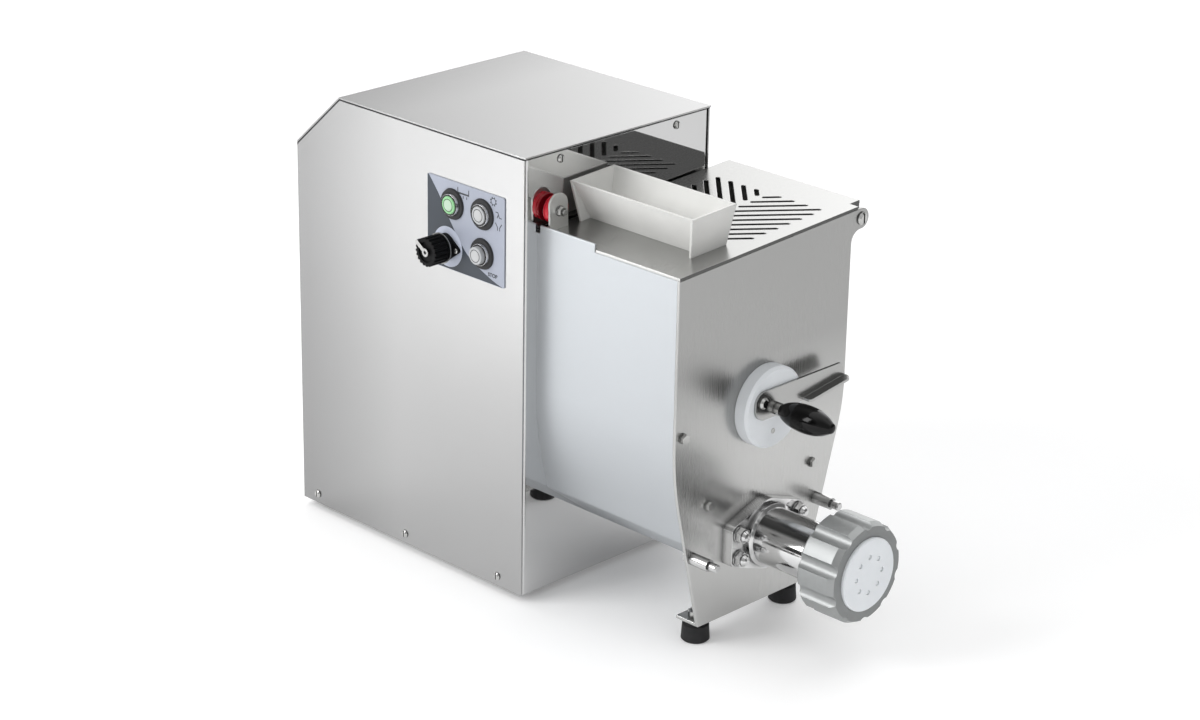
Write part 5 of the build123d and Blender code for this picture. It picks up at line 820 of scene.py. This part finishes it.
class PASTA_OT_buttons(bpy.types.Operator):
    """Push-buttons: rings, bezels with their dark gasket, caps and raised lenses"""

    bl_idname = "pasta_maker.buttons"
    bl_label = "Push-buttons"

    def execute(self, context):
        metals, plastics = palettes(context.scene)
        dress(moulded_plastic("button_ring_plastic", shade(plastics.rubber, 1.8),
                              roughness=0.45, gloss=0.2), "button_rings")
        dress(screw_steel("bezel_steel", metals.polished, roughness=0.12), "button_bezels")
        gasket = rubber("bezel_gasket_rubber", plastics.rubber)
        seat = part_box("button_bezels")[0].x
        # node, colour, strength of its painted glow and material slot of each button's cap
        for name, colour, glow, slot in (
                ("start_button", plastics.green_lens, 0.18, "green_lens"),
                ("mixer_button", plastics.clear_lens, 0.0, "white_lens"),
                ("stop_button", plastics.clear_lens, 0.0, "white_lens")):
            centre = centre_of(name)
            finish = lens_finish(name + "_lens_plastic", colour, centre, glow)
            dress(finish, name)
            face = on_side(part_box(name)[0].x, centre.y, centre.z)
            # painted shade: a thin dark ring where the lens's groove lies in shade
            piece(turned_mesh(name + "_groove", LENS_SHADE_RING, face), gasket, name,
                  "black_rubber")
            piece(turned_mesh(name + "_crown", LENS_CROWN, face), finish, name, slot)
            rim = on_side(seat, centre.y, centre.z)
            piece(turned_mesh(name + "_gasket", BEZEL_GASKET, rim), gasket, "housing",
                  "black_rubber")
        return {"FINISHED"}


class PASTA_OT_socket(bpy.types.Operator):
    """Accessory socket, its ribbed cap and its bright strap"""

    bl_idname = "pasta_maker.socket"
    bl_label = "Accessory socket"

    def execute(self, context):
        metals, plastics = palettes(context.scene)
        dress(moulded_plastic("socket_plastic", shade(plastics.black, 0.5), roughness=0.40,
                              grit=900.0, depth=0.00001, gloss=0.08),
              "accessory_socket", "socket_cap", "cable_gland")
        dress(screw_steel("strap_steel", shade(metals.zinc, 0.75), roughness=0.30), "cap_strap")
        return {"FINISHED"}


class PASTA_OT_vat(bpy.types.Operator):
    """Jacket, tub and front plate of the vat"""

    bl_idname = "pasta_maker.vat"
    bl_label = "Vat"

    def execute(self, context):
        metals = context.scene.pasta_metals
        dress(sheet_steel("jacket_steel", metals.jacket, metals.jacket_roughness, ALONG_Y,
                          metals.edge_radius), "vat_jacket")
        dress(sheet_steel("tub_steel", shade(metals.plate, 1.6), roughness=0.42,
                          along=ALONG_Y, edge=metals.edge_radius), "mixing_tub")
        # painted light and shade: the plate steel made lighter, then darker above the plate's
        # lower part, in place of its reflections
        dress(sheet_steel("front_plate_steel", shade(metals.plate, 1.14),
                          metals.plate_roughness, ALONG_Z, edge=0.0010, painted_shade=PLATE_PAINTED_SHADE),
              "front_plate")
        return {"FINISHED"}


class PASTA_OT_lid(bpy.types.Operator):
    """Slotted lid, hopper, and the magnet with its bracket"""

    bl_idname = "pasta_maker.lid"
    bl_label = "Lid and hopper"

    def execute(self, context):
        metals, plastics = palettes(context.scene)
        # painted reflection: faces that look forward are darkened into a dark line along the lid's
        # front edge
        dress(sheet_steel("lid_steel", metals.plate, metals.plate_roughness, ALONG_X,
                          edge=0.0008, rim=0.22), "lid")
        # painted light: a lighter copy of the plate steel, in place of the bracket's reflections
        dress(sheet_steel("bracket_steel", shade(metals.plate, 1.5), roughness=0.36,
                          along=ALONG_Z, edge=0.0006), "magnet_bracket")
        dress(moulded_plastic("hopper_plastic", plastics.hopper, roughness=0.44, grit=800.0,
                              depth=0.00002, edge=0.0012), "hopper")
        rounding = NODES["hopper"].modifiers.new("hopper_rounding", "BEVEL")
        rounding.width = plastics.hopper_rounding
        rounding.segments = 3
        rounding.limit_method = "ANGLE"
        dress(moulded_plastic("magnet_plastic", plastics.magnet, roughness=0.20, grit=600.0,
                              depth=0.000004, coat=0.6), "interlock_magnet")
        dress(screw_steel("bracket_bolt_steel", metals.zinc, roughness=0.14), "bracket_bolt")
        return {"FINISHED"}


class PASTA_OT_kneading(bpy.types.Operator):
    """Kneader and auger inside the vat"""

    bl_idname = "pasta_maker.kneading"
    bl_label = "Kneader and auger"

    def execute(self, context):
        metals = context.scene.pasta_metals
        dress(turned_steel("kneader_steel", shade(metals.plate, 1.6), roughness=0.34), "kneader")
        dress(turned_steel("auger_steel", metals.polished, roughness=0.30), "auger")
        return {"FINISHED"}


class PASTA_OT_front_lock(bpy.types.Operator):
    """White lock bush with its plugged screw hole, sheet lever and black grip"""

    bl_idname = "pasta_maker.front_lock"
    bl_label = "Front lock"

    def execute(self, context):
        metals, plastics = palettes(context.scene)
        dress(food_plastic("lock_polymer", plastics.food_white, roughness=0.46), "kneader_lock")
        # painted shade: a darker copy of the plate steel, in place of the dark reflections on the
        # lever
        dress(sheet_steel("lever_steel", shade(metals.plate, 0.85), roughness=0.22,
                          along=ALONG_X, edge=0.0006), "lock_lever")
        dress(screw_steel("lever_stud_steel", metals.zinc, roughness=0.12), "lever_studs")
        self.grip(moulded_plastic("grip_lacquer", plastics.grip, roughness=0.10, grit=300.0,
                                  depth=0.000001, coat=0.12, edge=0.0004, gloss=0.18))
        centre, face = centre_of("kneader_lock"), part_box("kneader_lock")[0].y
        spot = on_front(centre.x + PLUG_ACROSS, face, centre.z + PLUG_UP)
        piece(turned_mesh("lock_plug", LOCK_PLUG, spot),
              screw_steel("lock_plug_steel", metals.zinc, roughness=0.30), "kneader_lock",
              "zinc_screws")
        return {"FINISHED"}

    def grip(self, lacquer):
        """Egg-shaped grip in place of the plain one, closed over the end of its stud."""
        low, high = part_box("handle_grip")
        centre = centre_of("handle_grip")
        length, radius = high.y - low.y, (high.x - low.x) / 2
        outside = smooth_run([(share * radius, along * length) for along, share in EGG],
                             EGG_STEPS)
        inside = [(0.0, EGG_BORE_END * length), (EGG_BORE, EGG_BORE_END * length),
                  (EGG_BORE, 0.0), outside[0]]
        mesh = turned_mesh("lever_grip", outside + inside, on_front(centre.x, high.y, centre.z),
                           segments=EGG_SEGMENTS)
        grip = piece(mesh, lacquer, "kneader_lock", "black_plastic")
        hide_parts("handle_grip")


class PASTA_OT_nozzle(bpy.types.Operator):
    """Polished barrel and studs, lobed ring nut, and white die with the cores of its outlets"""

    bl_idname = "pasta_maker.nozzle"
    bl_label = "Nozzle"

    def execute(self, context):
        metals, plastics = palettes(context.scene)
        # painted reflection: a dark line along the barrel
        painted_streak = (centre_of("extrusion_barrel"), PAINTED_STREAK_RADIUS, PAINTED_STREAK_DIRECTION)
        dress(turned_steel("barrel_steel", metals.polished, metals.polished_roughness,
                           edge=0.0008, painted_streak=painted_streak), "extrusion_barrel")
        dress(screw_steel("nozzle_nut_steel", metals.polished, roughness=0.08),
              "barrel_nuts", "barrel_studs")
        dress(ring_nut_finish("ring_nut_metal", metals.cast, metals.cast_roughness,
                              centre_of("ring_nut")), "ring_nut")
        polymer = food_plastic("die_polymer", plastics.food_white, roughness=0.42)
        dress(polymer, "extrusion_die")
        middle, face = centre_of("extrusion_die"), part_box("extrusion_die")[0].y
        for hole in range(plastics.die_holes):
            across, up = around(middle.x, middle.z, plastics.die_circle,
                                hole / plastics.die_holes)
            core = turned_mesh(f"die_core_{hole + 1}", DIE_CORE, on_front(across, face, up),
                               segments=32)
            piece(core, polymer, "die", "white_plastic")
        # painted shade: a darker copy of the polished steel, which dims the studs' highlights
        dress(turned_steel("accessory_stud_steel", shade(metals.polished, 0.8), roughness=0.22),
              "accessory_studs")
        return {"FINISHED"}


class PASTA_OT_fasteners(bpy.types.Operator):
    """Screws, bolts, hinge pins and rubber feet"""

    bl_idname = "pasta_maker.fasteners"
    bl_label = "Fasteners and feet"

    def execute(self, context):
        metals, plastics = palettes(context.scene)
        dress(screw_steel("slotted_screw_steel", metals.zinc, roughness=0.20),
              "housing_screws", "hinge_pins")
        dress(screw_steel("plate_bolt_steel", metals.zinc, roughness=0.16),
              "front_plate_bolts")
        dress(rubber("foot_rubber", plastics.rubber), "housing_feet", "front_feet")
        return {"FINISHED"}


class PASTA_OT_stage(bpy.types.Operator):
    """Pale floor, white surroundings with their patches, two soft lights and the camera"""

    bl_idname = "pasta_maker.stage"
    bl_label = "Stage"

    def execute(self, context):
        stage = context.scene.pasta_stage
        context.scene.view_settings.view_transform = "Standard"
        self.floor(stage)
        self.surroundings(stage)
        self.soft_light("side_light", stage.side_power, *SIDE_LIGHT)
        self.soft_light("floor_light", stage.floor_power, *FLOOR_LIGHT)
        self.camera(stage)
        return {"FINISHED"}

    def floor(self, stage):
        """Large matt floor, a little self-lit so that its shadows stay soft."""
        shape = bmesh.new()
        bmesh.ops.create_grid(shape, x_segments=FLOOR_CELLS, y_segments=FLOOR_CELLS,
                              size=stage.floor_size / 2)
        mesh = finished_mesh("studio_floor", shape, Matrix.Identity(4))
        tone = stage.floor_tone
        finish = Finish("floor_paper", Specular_IOR_Level=0.1, Emission_Strength=stage.floor_glow,
                        Emission_Color=(1.0, 1.0, 1.0, 1.0))
        colour = finish.blend(finish.noise(scale=3.0), (tone, tone, tone),
                              (0.98 * tone, 0.98 * tone, 0.985 * tone))
        mesh.materials.append(finish.surface(colour, roughness=0.9))
        floor = linked("studio_floor", mesh)

    def surroundings(self, stage):
        """White all round, with dim and bright patches for the steel to reflect."""
        world = bpy.data.worlds.new("studio_surroundings")
        world.use_nodes = True
        web = Web(world.node_tree)
        ray = web.node("ShaderNodeTexCoord", {}, {}, "Generated")
        light = stage.sky
        for azimuth, elevation, outer, inner, change in STUDIO_PATCHES:
            turn, rise = radians(azimuth), radians(elevation)
            aim = (cos(turn) * cos(rise), sin(turn) * cos(rise), sin(rise))
            light = light + web.node("ShaderNodeMapRange", {}, {
                "Value": web.alignment(ray, aim), "From Min": cos(radians(outer)),
                "From Max": cos(radians(inner)), "To Min": 0.0, "To Max": change})
        light = web.node("ShaderNodeMath", {"operation": "MAXIMUM"}, {0: light, 1: DIMMEST_PATCH})
        background = world.node_tree.nodes["Background"]
        web.feed(background.inputs["Color"], (1.0, 1.0, 1.0, 1.0))
        web.feed(background.inputs["Strength"], light)
        bpy.context.scene.world = world

    def soft_light(self, name, power, place, target, size, spread):
        """Rectangular light that looks at a target."""
        light = bpy.data.lights.new(name, "AREA")
        light.shape = "RECTANGLE"
        light.size, light.size_y = size
        light.energy = power
        light.spread = spread
        lamp = linked(name, light)
        lamp.location = place
        direction = Vector(target) - Vector(place)
        lamp.rotation_euler = direction.to_track_quat("-Z", "Y").to_euler()

    def camera(self, stage):
        """Camera set by its place and three angles."""
        turn, rise, lean = stage.camera_azimuth, stage.camera_elevation, stage.camera_roll
        back = Vector((sin(turn) * cos(rise), -cos(turn) * cos(rise), sin(rise)))
        right = UPWARD.cross(back).normalized()
        up = back.cross(right)
        leaning_right = right * cos(lean) + up * sin(lean)
        leaning_up = up * cos(lean) - right * sin(lean)
        data = bpy.data.cameras.new("studio_camera")
        data.sensor_width = SENSOR_WIDTH_MM
        data.lens = stage.lens
        data.clip_end = VIEW_DEPTH
        camera = linked("studio_camera", data)
        matrix = Matrix((leaning_right, leaning_up, back)).transposed().to_4x4()
        matrix.translation = stage.camera_place
        camera.matrix_world = matrix
        bpy.context.scene.camera = camera


# ---------- add-on
SETTINGS = {
    "pasta_metals": PASTA_PG_metals,
    "pasta_plastics": PASTA_PG_plastics,
    "pasta_print": PASTA_PG_print,
    "pasta_stage": PASTA_PG_stage,
}
OPERATORS = (
    PASTA_OT_casing, PASTA_OT_drive, PASTA_OT_control_print, PASTA_OT_buttons, PASTA_OT_socket,
    PASTA_OT_vat, PASTA_OT_lid, PASTA_OT_kneading, PASTA_OT_front_lock, PASTA_OT_nozzle,
    PASTA_OT_fasteners, PASTA_OT_stage,
)


class PASTA_PT_sidebar(bpy.types.Panel):
    """Steps that dress the pasta maker, with their settings"""

    bl_idname = "PASTA_PT_sidebar"
    bl_label = "Pasta Maker"
    bl_space_type = "VIEW_3D"
    bl_region_type = "UI"
    bl_category = "Pasta Maker"

    def draw(self, context):
        for operator in OPERATORS:
            self.layout.operator(operator.bl_idname)
        for name, group in SETTINGS.items():
            box = self.layout.box()
            for field in group.__annotations__:
                box.prop(getattr(context.scene, name), field)


def register():
    """Register the classes and hang the settings on the scene."""
    for name, group in SETTINGS.items():
        bpy.utils.register_class(group)
        setattr(bpy.types.Scene, name, PointerProperty(type=group))
    for operator in (*OPERATORS, PASTA_PT_sidebar):
        bpy.utils.register_class(operator)


def unregister():
    """Undo register."""
    for operator in reversed((*OPERATORS, PASTA_PT_sidebar)):
        bpy.utils.unregister_class(operator)
    for name, group in SETTINGS.items():
        delattr(bpy.types.Scene, name)
        bpy.utils.unregister_class(group)


def main():
    """Dress the frame step by step."""
    register()
    bpy.ops.pasta_maker.casing()
    bpy.ops.pasta_maker.drive()
    bpy.ops.pasta_maker.control_print()
    bpy.ops.pasta_maker.buttons()
    bpy.ops.pasta_maker.socket()
    bpy.ops.pasta_maker.vat()
    bpy.ops.pasta_maker.lid()
    bpy.ops.pasta_maker.kneading()
    bpy.ops.pasta_maker.front_lock()
    bpy.ops.pasta_maker.nozzle()
    bpy.ops.pasta_maker.fasteners()
    bpy.ops.pasta_maker.stage()


if __name__ == "__main__":
    main()
